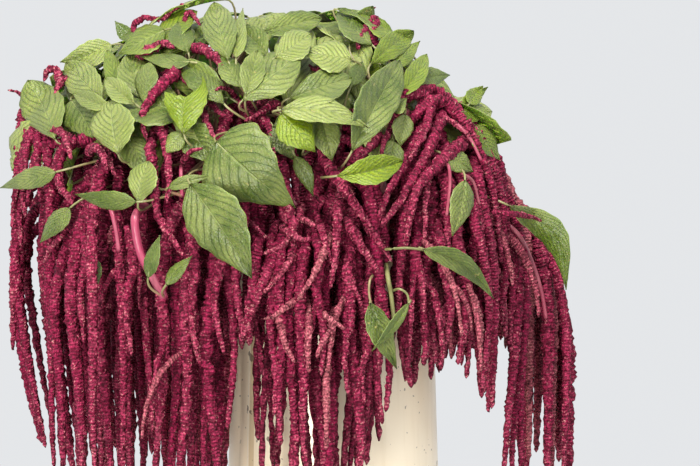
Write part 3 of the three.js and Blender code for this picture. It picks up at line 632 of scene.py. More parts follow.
def leafPlan(base, tip, width, out, turn, bow, tone, rng, on=onDome, loose=1.0):
    # all that shapes one blade; over the tassels none dips in among them
    s, sink = leafSetup, 0.25 if base[1] < 400 and on is onDome else 1
    standing = on is onDome and tip[1] > base[1] + 12 and width > 16
    shape = bladeShapes["standing" if standing else "hanging"]
    loose = loose * shape["looser"]
    return {
        **shape, "base": base, "tip": tip, "width": width * shape["across"], "out": out, "turn": turn,
        "bow": bow, "on": on, "tone": tone, "bitten": base == s["bitten"],
        "fold": s["fold"] + loose * rng.uniform(*s["folds"]), "roll": loose * rng.uniform(*s["rolls"]),
        "curl": s["curl"] * sink + min(1, loose) * sink * rng.uniform(*s["curls"]),
        "wave": rng.uniform(*s["waves"]) * width / 34,
        "arch": loose * rng.uniform(*s["arches"]), "phase": rng.uniform(),
        "quilt": s["quilt"] * rng.uniform(*s["quilts"]) * min(1, width / 26),
    }


def outOf(layer, place):
    # how far out a layer lies; three sub-layers keep neighbours of one layer apart
    return 6 + layer * leafSetup["layerGap"] + place % 3 * leafSetup["subLayerGap"]


def sideLeaves(turn, count, halfWidth, draw, rng, start, sunk):
    # leaves scattered over one side of the dome: upright in its middle, leaning out at its edges
    s = leafSetup
    for i in range(count):
        x = dome["x"] + halfWidth * (2 * halton(i + start, 2) - 1)
        aside = (x - dome["x"]) / halfWidth
        z = s["sideBottom"] + s["sideRise"] * halton(i + start, 3) * (1 - 0.35 * abs(aside))
        length = s["sideLength"][0] + s["sideLength"][1] * draw()
        tilt = math.radians(90 + 150 * (draw() - 0.5) - 70 * aside)
        across, rise = length * math.cos(tilt), length * math.sin(tilt)
        if turn == 180:  # none stands past the right edge of the crown
            x += max(0, s["backLimit"] - min(x, x + across))
        if turn == 270:  # nor in front of the tassels at its left
            x -= max(0, max(x, x + across) - s["leftLimit"])
        base, tip = (x, z - 0.35 * rise), (x + across, z + 0.65 * rise)
        width = length * (s["sideWidth"][0] + s["sideWidth"][1] * draw())
        bow, out = 0.12 * (draw() - 0.5), outOf(i % 4, i) - sunk - (s["sunkLess"] if turn % 180 else 0)
        yield leafPlan(base, tip, width, out, turn, bow, rng.uniform(0.0, 0.8), rng)


def leafPlans():
    # the front leaves, those of the other sides by rule, then the finer ones that fill the crown
    draw, rng, s = makeDraw(4127), np.random.default_rng(4127), leafSetup
    leaves, extra, place = [], [], 0
    for x0, z0, x1, z1, width, layer, tone, *own in frontLeaves:
        if width > s["least"]:
            slight = 0.08 * (draw() - 0.5)
            bow = own[0] if own else slight
            leaves.append(leafPlan((x0, z0), (x1, z1), width, outOf(layer, place), 0, bow, tone, rng))
            if len(own) > 1:
                leaves[-1]["fullAt"] = own[1]
            place += 1
        else:
            extra.append(leafPlan((x0, z0), (x1, z1), width, outOf(layer, 1), 0, 0.03, tone, rng))
    for x0, z0, x1, z1, width, layer, tone in fineLeaves:
        extra.append(leafPlan((x0, z0), (x1, z1), width, outOf(layer, 1), 0, 0.04, tone, rng))
    for turn, count, halfWidth in s["otherSides"]:
        leaves.extend(sideLeaves(turn, count, halfWidth, draw, rng, 1, 0))
    for i in range(s["crownLeaves"]):
        x = dome["x"] + s["crownAcross"] * (2 * halton(i + 1, 2) - 1)
        y = mix(*s["crownDeep"], halton(i + 1, 3))
        length = s["crownLength"][0] + s["crownLength"][1] * draw()
        heading = math.atan2(y, x - dome["x"]) + 1.2 * (draw() - 0.5)
        tip = (x + length * math.cos(heading), y + length * math.sin(heading))
        width = s["crownWidth"][0] + s["crownWidth"][1] * draw()
        bow, out = 0.12 * (draw() - 0.5), i % 3 * s["layerGap"] - 8
        leaves.append(leafPlan((x, y), tip, width, out, 0, bow, rng.uniform(0.1, 0.7), rng, onTop, 0.5))
    for turn, count, halfWidth in s["moreSides"]:
        extra.extend(sideLeaves(turn, count, halfWidth, rng.uniform, rng, 31, s["sunkMore"]))
    for i in range(s["topLeaves"]):
        across, deep = s["middleArea" if i < s["middleLeaves"] else "topArea"]
        x, y = mix(*across, halton(i + 3, 2)), mix(*deep, halton(i + 3, 3))
        length = rng.uniform(55, 90)
        heading = math.atan2(y, x - dome["x"] + 1) + rng.uniform(-0.9, 0.9)
        tip = (x + length * math.cos(heading), y + length * math.sin(heading))
        width, tone = length * rng.uniform(0.42, 0.58), rng.uniform(0.1, 0.7)
        extra.append(leafPlan((x, y), tip, width, i % 3 * 5 - 12, 0, 0.04, tone, rng, onTop, 0.7))
    return leaves, extra


def takeRoots(leaves, extra):
    # a leaf grows from the nearest place still free on any stem; the finer ones share what is near,
    # and one whose base is close to the end of a side shoot grows from there
    count = leafSetup["rootsPerStem"]
    shares = stemSetup["crestShare"] * mix(*leafSetup["rootSpan"], np.arange(count) / (count - 1))
    places = np.concatenate([archPoint(plan, shares) for plan in stems])
    owner = np.repeat(np.arange(len(stems)), count)
    free = np.ones(len(places), bool)
    shootEnds = np.array([onDome(*line[-1], out) for line, _, _, _, out in shoots])
    rooted = []
    for k, leaf in enumerate(leaves + extra):
        base = bladePoint(leaf, 0.0)
        distance = np.linalg.norm(places - base, axis=1)
        if k < len(leaves):
            distance = np.where(free, distance, np.inf)
        nearest = int(distance.argmin())
        free[nearest] = False
        toShoot = np.linalg.norm(shootEnds - base, axis=1)
        onShoot = toShoot.min() < leafSetup["shootReach"] and leaf["on"] is onDome and leaf["turn"] == 0
        rooted.append((leaf, owner[nearest], shootEnds[toShoot.argmin()] if onShoot else places[nearest]))
    return rooted


def bladePart(leaf):
    # the blade as a thin closed skin; growth holds the place across it (-1 to 1), along it and its tone
    size = "large" if leaf["width"] > leafSetup["large"] else "small"
    rows, columns = leafSetup["grids"][size if leaf["turn"] == 0 and leaf["on"] is onDome else "hidden"]
    t = np.linspace(0, 1, rows)[:, None]
    s = np.linspace(-1, 1, columns)[None, :]
    points, quads, tris = sheet(bladeSurface(leaf, t, s), leafSetup["thickness"])
    flat = np.stack([s + 0 * t, t + 0 * s, leaf["tone"] + 0 * (s + t)], -1).reshape(-1, 3)
    return points, quads, tris, np.vstack([flat, flat]), 1


def petiolePart(leaf, start):
    # a curve from its place on the stem that comes into the blade along its middle line
    base, into = bladePoint(leaf, 0.0), bladePoint(leaf, 0.14)
    reach, rings = np.linalg.norm(base - start), leafSetup["petioleRings"]
    pull = base - unit(into - base) * min(reach * 0.45, leafSetup["petioleBend"])
    lift = mix(start, pull, 0.4) + np.array([0, 0, reach * 0.05])
    path = bezier(np.array([start, lift, pull, base]), np.linspace(0, 1, rings))
    path = np.vstack([path, mix(base, into, 0.5), into])  # it runs on in the blade and thins out
    radius = leafSetup["petioleRadius"] * np.concatenate([np.linspace(1.15, 0.8, rings), [0.6, 0.4]])
    level = unit(np.cross(base - start, [0.31, 0.2, 0.93]))  # any way off the stalk's own would do
    return stalkPart(path, radius, level, 0.35 + 0.6 * np.linspace(0, 1, len(path)), 0)


def shootPart(shoot):
    # a smooth line over the dome from inside the bunch; its width runs evenly and swells at its end
    line, width0, width1, green, out = shoot
    places = np.array(line, float)
    inner = np.concatenate([[out - shootSunk], np.full(len(line) - 1, out)])
    path = flowing(onDome(places[:, 0], places[:, 1], inner), 2.5)
    share = np.linspace(0, 1, len(path))
    radius = mix(width0, width1, share) / 2 * (1 + 0.12 * np.exp(-(((share - 0.98) / 0.05) ** 2)))
    return stalkPart(path, radius, np.array([1.0, 0, 0.02]), np.full(len(path), green), 0)


def leafMaterial():
    # green by the leaf's tone, with curved side veins, a midrib, pale clouds and a fine net, painted shade in
    # the dips between the puffs and a painted highlight along the edge; some light passes through
    material, tree, shader = newMaterial(
        "leafSkin", Specular_IOR_Level=0.4, Subsurface_Weight=0.4,
        Subsurface_Radius=(0.6, 1.0, 0.15), Subsurface_Scale=0.002,
    )
    across, along, tone = growthOf(tree)
    reach = calc(tree, "ABSOLUTE", across)
    bent = times(tree, calc(tree, "POWER", reach, 1.3), leafSetup["veinLean"])
    phase = times(tree, calc(tree, "SUBTRACT", along, bent), leafSetup["veins"])
    drift = useGroup(tree, grain, scale=22.0, detail=1.0, low=0.2, high=0.8)
    phase = calc(tree, "ADD", calc(tree, "ADD", phase, times(tree, drift, 0.5)), 0.5)
    offVein = calc(tree, "ABSOLUTE", calc(tree, "SUBTRACT", calc(tree, "FRACT", phase), 0.5))
    sideVein = times(tree, fade(tree, offVein, 0.075, 0.01), fade(tree, reach, 1.0, 0.6))
    midrib = fade(tree, reach, 0.05, 0.015)
    paleGreen, midGreen, bright = (0.21, 0.25, 0.066, 1), (0.051, 0.080, 0.008, 1), (0.125, 0.175, 0.002, 1)
    colour = mixColour(tree, fade(tree, tone, 0.0, 0.5), paleGreen, midGreen)
    colour = mixColour(tree, fade(tree, tone, 0.5, 1.0), colour, bright)
    clouds = useGroup(tree, grain, scale=30.0, detail=3.0, low=0.3, high=0.75)
    light = mixColour(tree, fade(tree, tone, 0.5, 1.0), (0.36, 0.40, 0.12, 1), (0.24, 0.32, 0.01, 1))
    colour = mixColour(tree, times(tree, clouds, 0.32), colour, light)
    # deep: a darker green, the painted shade in the dips and the colour of the side veins
    deep = mixColour(tree, 0.7, colour, (0.025, 0.06, 0.01, 1))
    # darker in the dips along the side veins, a painted shade of the puffs between them, and darker on the
    # thin side veins; paler on the midrib
    colour = mixColour(tree, times(tree, fade(tree, offVein, 0.42, 0.0), 0.5), colour, deep)
    colour = mixColour(tree, times(tree, sideVein, 0.4), colour, deep)
    colour = mixColour(tree, times(tree, midrib, 0.22), colour, (0.30, 0.36, 0.13, 1))
    # a pale rim along the blade's edge: a painted highlight
    colour = mixColour(tree, times(tree, fade(tree, reach, 0.94, 0.99), 0.2), colour, (0.38, 0.42, 0.17, 1))
    net = useGroup(tree, beads, scale=420.0, softness=0.75)
    colour = mixColour(tree, times(tree, net, 0.1), colour, light)
    spots = useGroup(tree, grain, scale=160.0, detail=1.0, low=0.74, high=0.78)
    colour = mixColour(tree, times(tree, spots, 0.5), colour, (0.35, 0.3, 0.1, 1))
    tree.links.new(colour, shader.inputs["Base Color"])
    height = calc(tree, "SUBTRACT", times(tree, net, 0.25), calc(tree, "MAXIMUM", sideVein, midrib))
    bumpNormal(tree, shader, height, 0.8, 0.0014)
    tree.links.new(calc(tree, "ADD", 0.36, times(tree, clouds, 0.18)), shader.inputs["Roughness"])
    return material


def nearestStem(place, span):
    # the stem whose arch passes closest to the place, within the span's two shares of its length
    shares = np.linspace(*span, 20)
    away = [np.linalg.norm(archPoint(plan, shares) - place, axis=1).min() for plan in stems]
    return int(np.argmin(away))


leafSkin = leafMaterial()
rooted = takeRoots(*leafPlans())
belowCrest, pastCrest = (0, stemSetup["crestShare"]), (stemSetup["crestShare"], 1)
shootOwner = [nearestStem(onDome(*line[0], out - shootSunk), belowCrest) for line, *_, out in shoots]
for index, plan in enumerate(stems):
    own = [(leaf, start) for leaf, owner, start in rooted if owner == index]
    parts = [stemPart(plan)]
    parts += [bladePart(leaf) for leaf, _ in own]
    parts += [petiolePart(leaf, start) for leaf, start in own]
    parts += [shootPart(shoot) for shoot, owner in zip(shoots, shootOwner) if owner == index]
    name = f"{index + 1:02d}"
    makePiece("leafyStem" + name, parts, [stalkSkin, leafSkin], "leafy_stem_" + name)
print("leafy stems made:", len(rooted), "leaves")

# Seed heads. A row of tassels: how many, how far out it hangs, and where on the arch it grows.
tasselRows = [
    (4, 1.0, 0.97, 0.8), (4, 0.45, 0.74, 0.6), (5, 0.84, 0.9, 0.76),
    (4, 0.64, 0.82, 0.68), (4, 0.24, 0.66, 0.56), (2, 0.04, 0.6, 0.52),
]
# The hem where the tips hang, as it shows from the front: (x, z) along the front and the back half.
hems = {
    "front": [
        (-322, 105), (-312, 168), (-298, 168), (-290, 75), (-200, 58), (-188, 112), (-176, 58), (-108, 45),
        (-102, 208), (-76, 208), (-68, 60), (-10, 52), (36, 88), (60, 165), (95, 182), (107, 202), (124, 180),
        (146, 218), (150, 150), (158, 150), (162, 235), (178, 235), (184, 76), (235, 72),
    ],
    "back": [
        (-322, 125), (-280, 100), (70, 100), (100, 170), (112, 210), (164, 225), (179, 235), (185, 100),
        (240, 95),
    ],
}
tasselSetup = {
    "radius": 6.1, "lowest": 34, "ringStep": 2.8, "fineStep": 2.2, "sway": 6.0, "hump": 16,
    "fromVase": 21.2, "beyond": 14, "spread": 8,  # places from clear of the vase to past the stem's reach
    "sideRoom": 8.2, "rootShift": 0.045, "hemSpread": 36, "shorterInside": 16,
    "outer": 0.7, "coarser": 1.6, "outerSides": 10, "innerSides": 8,  # those deep in the bunch are coarser
    # paler raises the tone of the far-right seed head: painted light on the side the lamps leave in shade
    "clump": 0.19, "grain": 0.14, "tipWidth": 0.42, "paler": 0.35,
    "young": 4, "youngLength": (28, 75), "youngRadius": (3, 4.4), "youngFrom": (0.42, 0.9),
    "twigs": 12, "twigLength": (35, 95), "twigRadius": (2.5, 4.2), "twigFrom": (0.2, 0.62),
    "drapeSunk": (26, 4),  # how much deeper than the rest of it the first two points of a drape lie
}
sector = 360 / len(stems)

# Tassels that drape over the front: where each runs as seen from the front, its width, how far out
# it lies, and its tone, from deep crimson (0) to pale rose (1).
drapes = [
    ([(-308, 458), (-316, 464), (-326, 466)], 5, 4, 0.3),
    ([(-272, 422), (-300, 418), (-312, 398), (-317, 368), (-320, 330)], 9, 2, 0.2),
    ([(-280, 430), (-298, 428), (-306, 408), (-308, 380)], 9, 6, 0.25),
    ([(-262, 414), (-290, 410), (-300, 388), (-304, 352)], 9, 8, 0.15),
    ([(-240, 412), (-262, 412), (-276, 392), (-282, 352), (-284, 300)], 10, 8, 0.2),
    ([(-238, 418), (-262, 414), (-274, 396), (-273, 370), (-260, 350)], 11, 16, 0.3),
    ([(-258, 418), (-272, 424), (-281, 431)], 7, 14, 0.8),
    ([(-241, 429), (-230, 414), (-222, 390), (-217, 381)], 8, 16, 0.75),
    ([(-213, 404), (-224, 398), (-232, 380), (-236, 350), (-238, 300)], 11, 8, 0.2),
    ([(-296, 462), (-306, 452), (-313, 430), (-316, 398), (-317, 352), (-314, 310)], 10, -6, 0.3),
    ([(-290, 446), (-300, 436), (-306, 412), (-307, 378), (-304, 340)], 10, 2, 0.25),
    ([(-280, 434), (-290, 428), (-296, 408), (-297, 384), (-293, 356)], 10, 6, 0.2),
    ([(-268, 432), (-280, 424), (-286, 404), (-287, 372), (-285, 340)], 11, -4, 0.3),
    ([(-84, 452), (-74, 436), (-64, 408), (-56, 372), (-50, 330)], 12, -10, 0.25),
    ([(-66, 430), (-56, 412), (-49, 392), (-46, 366), (-45, 330)], 12, -2, 0.25),
    ([(-60, 448), (-50, 432), (-42, 404), (-38, 370), (-34, 330)], 12, -12, 0.2),
    ([(-96, 450), (-106, 440), (-112, 416), (-108, 380)], 12, -12, 0.2),
    ([(-290, 424), (-276, 426), (-268, 416), (-262, 398)], 9, 30, 0.6),
    ([(-246, 404), (-238, 408), (-230, 398), (-226, 384)], 9, 26, 0.6),
    ([(-150, 494), (-160, 480), (-176, 464), (-188, 446), (-190, 434), (-187, 418)], 11, 26, 0.3),
    ([(-176, 430), (-182, 414), (-181, 396), (-178, 371), (-173, 341), (-161, 321),
      (-149, 303)], 10, 20, 0.6),
    ([(-175, 448), (-170, 424), (-166, 400), (-165, 380), (-168, 354)], 10, 22, 0.5),
    ([(-131, 448), (-127, 434), (-121, 422), (-114, 407)], 6, 24, 0.7),
    ([(-150, 392), (-146, 400), (-139, 404), (-131, 406)], 6, 20, 0.6),
    ([(-128, 460), (-120, 450), (-110, 441), (-101, 439)], 7, 6, 0.1),
    ([(-93, 453), (-86, 445), (-78, 438)], 6, 10, 0.5),
    ([(-266, 326), (-273, 318), (-284, 306), (-291, 293)], 6, 20, 0.7),
    ([(-13, 406), (0, 384), (14, 360), (30, 338), (41, 318)], 11, 14, 0.45),
    ([(10, 340), (20, 324), (34, 302), (48, 284)], 10, 18, 0.7),
    ([(30, 334), (42, 318), (52, 304), (59, 293)], 7, 20, 0.65),
    ([(-86, 336), (-76, 326), (-66, 316)], 5, 14, 0.7),
    ([(-30, 352), (-40, 328), (-52, 308), (-70, 299)], 7, 16, 0.75),
    ([(-34, 338), (-26, 334), (-15, 327)], 7, 20, 0.8),
    ([(-52, 330), (-42, 322), (-32, 316), (-24, 318)], 8, 18, 0.75),
    ([(6, 362), (4, 336), (2, 300), (-3, 266)], 9, 14, 0.65),
    ([(-18, 346), (-10, 320), (-4, 302), (0, 290)], 8, 12, 0.5),
    ([(-42, 334), (-58, 300), (-74, 268), (-86, 240), (-94, 214)], 12, 10, 0.3),
    ([(-2, 322), (-10, 300), (-20, 280), (-36, 256)], 8, 20, 0.95),
    ([(-34, 258), (-46, 250), (-58, 240), (-68, 238)], 7, 20, 1.0),
    ([(-16, 246), (-8, 240), (2, 232), (12, 226)], 7, 20, 1.0),
    ([(-26, 256), (-24, 230), (-26, 206), (-25, 182)], 8, 16, 0.9),
    ([(0, 248), (-6, 226), (-16, 206), (-18, 198)], 8, 14, 0.9),
    ([(-60, 260), (-52, 232), (-48, 214), (-38, 196)], 8, 16, 0.95),
    ([(-30, 340), (-40, 310), (-46, 260), (-44, 190), (-40, 120), (-42, 62)], 11, 2, 0.2),
    ([(-24, 330), (-30, 300), (-34, 250), (-32, 180), (-33, 120), (-30, 84)], 11, 6, 0.3),
    ([(-56, 334), (-62, 312), (-60, 270), (-62, 230), (-58, 180), (-60, 142)], 10, 4, 0.35),
    ([(-48, 330), (-52, 306), (-54, 262), (-50, 222), (-53, 170), (-50, 110)], 10, 9, 0.15),
    ([(-36, 312), (-44, 292), (-58, 274), (-68, 262)], 7, 16, 0.8),
    ([(-70, 330), (-76, 306), (-78, 276), (-84, 244), (-82, 216)], 10, 12, 0.25),
    ([(-20, 330), (-14, 300), (-16, 262), (-10, 226), (-12, 180)], 10, 10, 0.3),
    ([(176, 310), (184, 280), (181, 210), (175, 150), (169, 86)], 11, 6, 0.3),
    ([(182, 300), (190, 262), (187, 190), (181, 130), (177, 76)], 11, 0, 0.2),
    ([(150, 320), (158, 290), (157, 240), (155, 190), (152, 142)], 11, 6, 0.15),
    ([(20, 320), (14, 286), (18, 240), (12, 200), (16, 160)], 9, 12, 0.45),
    ([(40, 300), (34, 262), (38, 222), (30, 186), (32, 150)], 9, 10, 0.5),
    ([(-120, 340), (-112, 300), (-118, 250), (-110, 200)], 9, 12, 0.5),
    ([(-58, 380), (-48, 360), (-44, 334), (-42, 308)], 11, 8, 0.3),
    ([(-146, 330), (-138, 290), (-142, 240), (-134, 190)], 9, 14, 0.6),
    ([(-206, 330), (-200, 290), (-208, 250), (-202, 200)], 9, 12, 0.5),
    ([(-250, 330), (-246, 300), (-252, 262), (-248, 214)], 9, 12, 0.4),
    ([(10, 300), (16, 282), (24, 264), (30, 250)], 7, 14, 0.7),
    ([(112, 456), (106, 430), (96, 404), (76, 368), (62, 344), (51, 328)], 12, 16, 0.3),
    ([(100, 448), (88, 424), (70, 392), (56, 366), (46, 336)], 11, 8, 0.3),
    ([(137, 418), (122, 408), (104, 392), (86, 372), (78, 344), (72, 310)], 12, 20, 0.4),
    ([(96, 396), (94, 370), (93, 340), (92, 316)], 8, 18, 0.75),
    ([(104, 390), (112, 376), (115, 350), (114, 320), (112, 296)], 14, 12, 0.35),
    ([(86, 382), (78, 360), (72, 330), (70, 290), (68, 240)], 11, 12, 0.3),
    ([(122, 438), (144, 410), (162, 376), (170, 330), (172, 280), (168, 226)], 11, 10, 0.25),
    ([(117, 450), (138, 430), (156, 400), (168, 366), (174, 336)], 11, 14, 0.3),
    ([(136, 418), (144, 376), (152, 330), (158, 286), (157, 230), (153, 150)], 12, 16, 0.3),
    ([(134, 380), (143, 346), (148, 318), (150, 280)], 11, 20, 0.45),
    ([(160, 344), (176, 343), (192, 341), (206, 336)], 6, 54, 0.4),
    ([(-192, 512), (-200, 528), (-190, 538), (-172, 536), (-160, 546), (-150, 551)], 7, 14, 0.35),
    ([(-150, 514), (-146, 538), (-140, 542), (-132, 530)], 6, 14, 0.5),
    ([(-196, 498), (-184, 506), (-172, 512), (-160, 508)], 10, 26, 0.35),
    ([(-140, 508), (-128, 506), (-116, 498), (-108, 484)], 10, 26, 0.35),
    ([(-270, 470), (-278, 486), (-286, 484), (-290, 474)], 9, 16, 0.6),
    ([(-262, 472), (-270, 478), (-274, 470), (-278, 462)], 9, 20, 0.7),
    ([(60, 438), (78, 462), (104, 466), (130, 440), (150, 402), (164, 350), (171, 296)], 11, 18, 0.3),
    ([(72, 428), (94, 452), (114, 452), (138, 420), (158, 372), (168, 318)], 11, 24, 0.25),
    ([(44, 436), (60, 456), (84, 462), (98, 452), (94, 424), (80, 394)], 11, 24, 0.3),
    ([(-46, 440), (-58, 452), (-72, 444), (-88, 436)], 8, 12, 0.3),
    ([(60, 500), (40, 516), (42, 536), (28, 520), (24, 506)], 9, 8, 0.35),
    ([(-174, 476), (-162, 482), (-148, 478), (-140, 466)], 10, 6, 0.25),
    ([(20, 536), (32, 544), (44, 548)], 6, 6, 0.5),
    ([(-80, 440), (-70, 436), (-62, 420), (-58, 400)], 9, 4, 0.2),
    ([(48, 422), (38, 410), (24, 400), (12, 398)], 9, 6, 0.3),
    ([(-38, 488), (-24, 486), (-10, 484), (4, 474)], 12, -8, 0.25),
    ([(54, 446), (58, 430), (52, 414), (48, 396)], 8, 8, 0.3),
]


def hemHeight(x, y):
    # the height at this place that shows on the hem line, carried back along the line of sight
    away = (eye["distance"] + y) / eye["distance"]
    line = np.array(hems["front" if y < 0 else "back"], float)
    seen = np.interp(eye["x"] + (x - eye["x"]) / away, line[:, 0], line[:, 1])
    return eye["height"] + (seen - eye["height"]) * away


def tasselPath(plan, row, k, rng):
    # out from the arch and over, then down to its own place under the stem's sector; the distance from
    # the vase's axis grows by swing * t^2, the height falls by t^1.22 with a hump at the start
    heading, _, reach, _, swing = plan
    count, outward, rootMiddle, rootSide = tasselRows[row]
    s, sideways, order = tasselSetup, (k + 0.5) / count * 2 - 1, row * 5 + k
    rootAt = mix(rootMiddle, rootSide, abs(sideways)) - (s["rootShift"] if sideways > 0 else 0)
    radius = mix(vaseSetup["baseRadius"] + s["fromVase"], reach + s["beyond"], outward)
    radius = radius + s["spread"] * (halton(order + heading, 2) - 0.5)
    swing = swing * outward
    turn = math.radians(sector / 2) - math.asin(s["sideRoom"] / (radius + swing))
    turn = math.radians(heading) + sideways * turn
    toward = np.array([math.cos(turn), math.sin(turn)])
    start = archPoint(plan, rootAt)
    tip = hemHeight(*(toward * radius)) + s["hemSpread"] * (halton(order + heading, 3) - 0.5)
    tip = max(s["lowest"], tip + s["shorterInside"] * (1 - outward))
    step = s["ringStep"] * (1 if outward > s["outer"] else s["coarser"])
    t = np.linspace(0, 1, int((start[2] - tip + 40) / step))
    slot = toward * (radius + swing * t**2)[:, None]
    out = (1 - (1 - np.minimum(1, t / 0.5)) ** 2.2)[:, None]
    hump = s["hump"] * np.sin(math.pi * np.minimum(1, t / 0.34))
    swayAt = s["sway"] * np.sin(2 * math.pi * (1.1 * t + rng.uniform())) * np.minimum(1, 2 * t)
    flat = mix(start[:2], slot, out) + levelOf(plan)[:2] * swayAt[:, None]
    return np.column_stack([flat, mix(start[2], tip, t**1.22) + hump])


def floretRope(path, radius, level, rng, tone, clump, sides=tasselSetup["outerSides"]):
    # clumps of florets along and round the rope, with a grain of single ones on them; growth holds
    # how far out a corner stands, how far it is from the tip (in 100 mm) and the tassel's tone
    s = tasselSetup
    rings, sides = len(path), sides if radius > 4 else s["innerSides"]
    run = np.concatenate([[0], np.cumsum(np.linalg.norm(np.diff(path, axis=0), axis=1))])
    t, way = (run / run[-1])[:, None], run[:, None]
    angle = np.arange(sides)[None, :] * (2 * math.pi / sides)
    p = rng.uniform(0, 2 * math.pi, 4)
    waves = np.sin(way / 1.25 + 2 * angle + p[0]) * np.sin(way / 1.9 - 2 * angle + p[1])
    waves = waves + 0.6 * np.sin(way / 3.3 + p[2]) * np.cos(angle + p[3])
    lift = 1 + clump * s["clump"] * waves + s["grain"] * rng.normal(0, 1, (rings, sides))
    slim = mix(1, s["tipWidth"], np.clip((t - 0.3) / 0.68, 0, 1) ** 1.25)
    fromEnd = np.minimum(1, (run[-1] - way) / (radius * 1.1))
    body = np.minimum(1, 0.6 + 3 * t) * slim * np.sqrt(np.clip(1 - (1 - fromEnd) ** 2, 0.04, 1))
    points, quads, tris = tube(path, np.maximum(radius * body * lift, 0.5), level)
    points[: rings * sides] += rng.normal(0, 0.3, (rings * sides, 3))
    raised = np.clip(0.5 + 1.6 * (lift - 1), 0, 1)
    growth = np.stack([raised, (run[-1] - way) / 100 + 0 * lift, tone + 0 * lift], -1).reshape(-1, 3)
    return points, quads, tris, np.vstack([growth, growth[0], growth[-1]]), 0


def youngTassel(plan, rng):
    # a short one near the crest, that stands out and up and then bends over
    s = tasselSetup
    start = archPoint(plan, rng.uniform(*s["youngFrom"]))
    length = rng.uniform(*s["youngLength"]) * (0.55 if math.cos(math.radians(plan[0])) > 0.8 else 1)
    turn = math.radians(plan[0] + rng.uniform(-70, 70))
    heading = np.array([math.cos(turn), math.sin(turn), 0])
    t = np.linspace(0, 1, int(length / s["fineStep"]))[:, None]
    rise = rng.uniform(0.1, 0.9) * t - 0.55 * t**2
    path = start + heading * length * 0.75 * t + np.array([0, 0, length]) * rise
    level = np.array([-math.sin(turn), math.cos(turn), 0])
    return floretRope(path, rng.uniform(*s["youngRadius"]), level, rng, rng.uniform(0.5, 1), 0.7)


def twigTassel(host, plan, rng):
    # a thin one that leaves a long tassel, stands off a little and hangs with a paler tip; at the far
    # right and the far left it hangs closer
    s = tasselSetup
    begin = host[int(len(host) * rng.uniform(*s["twigFrom"]))]
    length = rng.uniform(*s["twigLength"])
    turn = math.radians(plan[0] + rng.uniform(-95, 95))
    away = np.array([math.cos(turn), math.sin(turn), 0])
    t = np.linspace(0, 1, int(length / s["fineStep"]))[:, None]
    spread = rng.uniform(0.15, 0.5) * (0.25 if abs(math.sin(math.radians(plan[0]))) < 0.1 else 1)
    path = begin + away * length * spread * (1 - (1 - t) ** 1.8)
    path = path - np.array([0, 0, length]) * (0.25 * t + 0.7 * t**1.6)
    level = np.array([-math.sin(turn), math.cos(turn), 0])
    return floretRope(path, rng.uniform(*s["twigRadius"]), level, rng, rng.uniform(0.4, 1), 0.8)


def drapePart(drape, rng):
    # a smooth line over the dome that comes from inside the bunch and wanders a little
    line, width, out, tone = drape
    places, depth = np.array(line, float), np.full(len(line), float(out))
    depth[:2] -= tasselSetup["drapeSunk"]
    path = flowing(onDome(places[:, 0], places[:, 1], depth), tasselSetup["fineStep"])
    wobble = np.cumsum(rng.normal(0, 0.18, path.shape), axis=0)
    return floretRope(path + wobble, width / 2, np.array([0.98, 0.05, 0.15]), rng, tone, 0.9)


def axisPart(plan):
    # the arch from a hair past its crest to close before its end
    u = np.linspace(stemSetup["crestShare"] + 0.002, 0.99, 60)
    radius = stemSetup["radius"] * mix(1, stemSetup["thinned"], u)
    return stalkPart(archPoint(plan, u), radius, levelOf(plan), np.full(len(u), 0.05), 1)


def tasselMaterial():
    # crimson florets, each with its own tone, over painted shade in the gaps between them; rosy by the
    # tassel's tone and at its tip
    material, tree, shader = newMaterial("seedFlorets", Roughness=0.7, Specular_IOR_Level=0.2)
    raised, fromTip, tone = growthOf(tree)
    creviceShade, deep, crimson = (0.032, 0.001, 0.006, 1), (0.135, 0.0011, 0.021, 1), (0.35, 0.006, 0.066, 1)
    rose, fleck = (0.60, 0.11, 0.18, 1), (0.80, 0.36, 0.34, 1)
    shade = useGroup(tree, shades, scale=340.0)
    blotch = useGroup(tree, grain, scale=45.0, detail=2.0, low=0.35, high=0.7)
    tips = fade(tree, fromTip, 0.7, 0.0)
    rosy = calc(tree, "ADD", times(tree, blotch, 0.16), times(tree, tone, 0.34))
    rosy = calc(tree, "ADD", rosy, times(tree, tips, 0.35))
    body = mixColour(tree, shade, deep, crimson)
    body = mixColour(tree, times(tree, rosy, fade(tree, shade, 0.25, 0.85)), body, rose)
    body = mixColour(tree, times(tree, fade(tree, tone, 0.7, 1.0), 0.3), body, (0.68, 0.26, 0.25, 1))
    # single pale seeds show among the florets, more of them on the paler tassels
    seeds = useGroup(tree, shades, scale=800.0)
    few = calc(tree, "SUBTRACT", 0.985, times(tree, rosy, 0.24))
    seeds = times(tree, calc(tree, "GREATER_THAN", seeds, few), fade(tree, raised, 0.25, 0.6))
    body = mixColour(tree, times(tree, seeds, 0.5), body, fleck)
    cell = useGroup(tree, beads, scale=340.0, softness=0.7)
    # the florets stand in rows round the tassel, a little uneven
    uneven = useGroup(tree, grain, scale=120.0, detail=1.0, low=0.2, high=0.8)
    rows = useGroup(tree, ribs, along=calc(tree, "ADD", fromTip, times(tree, uneven, 0.022)), count=31.0)
    relief = calc(tree, "ADD", times(tree, cell, 0.5), times(tree, rows, 0.5))
    # painted shade: darker where a corner is sunk in among the clumps and between the florets and their rows
    depth = times(tree, fade(tree, raised, -0.15, 0.5), calc(tree, "ADD", 0.3, times(tree, relief, 0.85)))
    tree.links.new(mixColour(tree, depth, creviceShade, body), shader.inputs["Base Color"])
    bumpNormal(tree, shader, relief, 1.0, 0.0022)
    return material


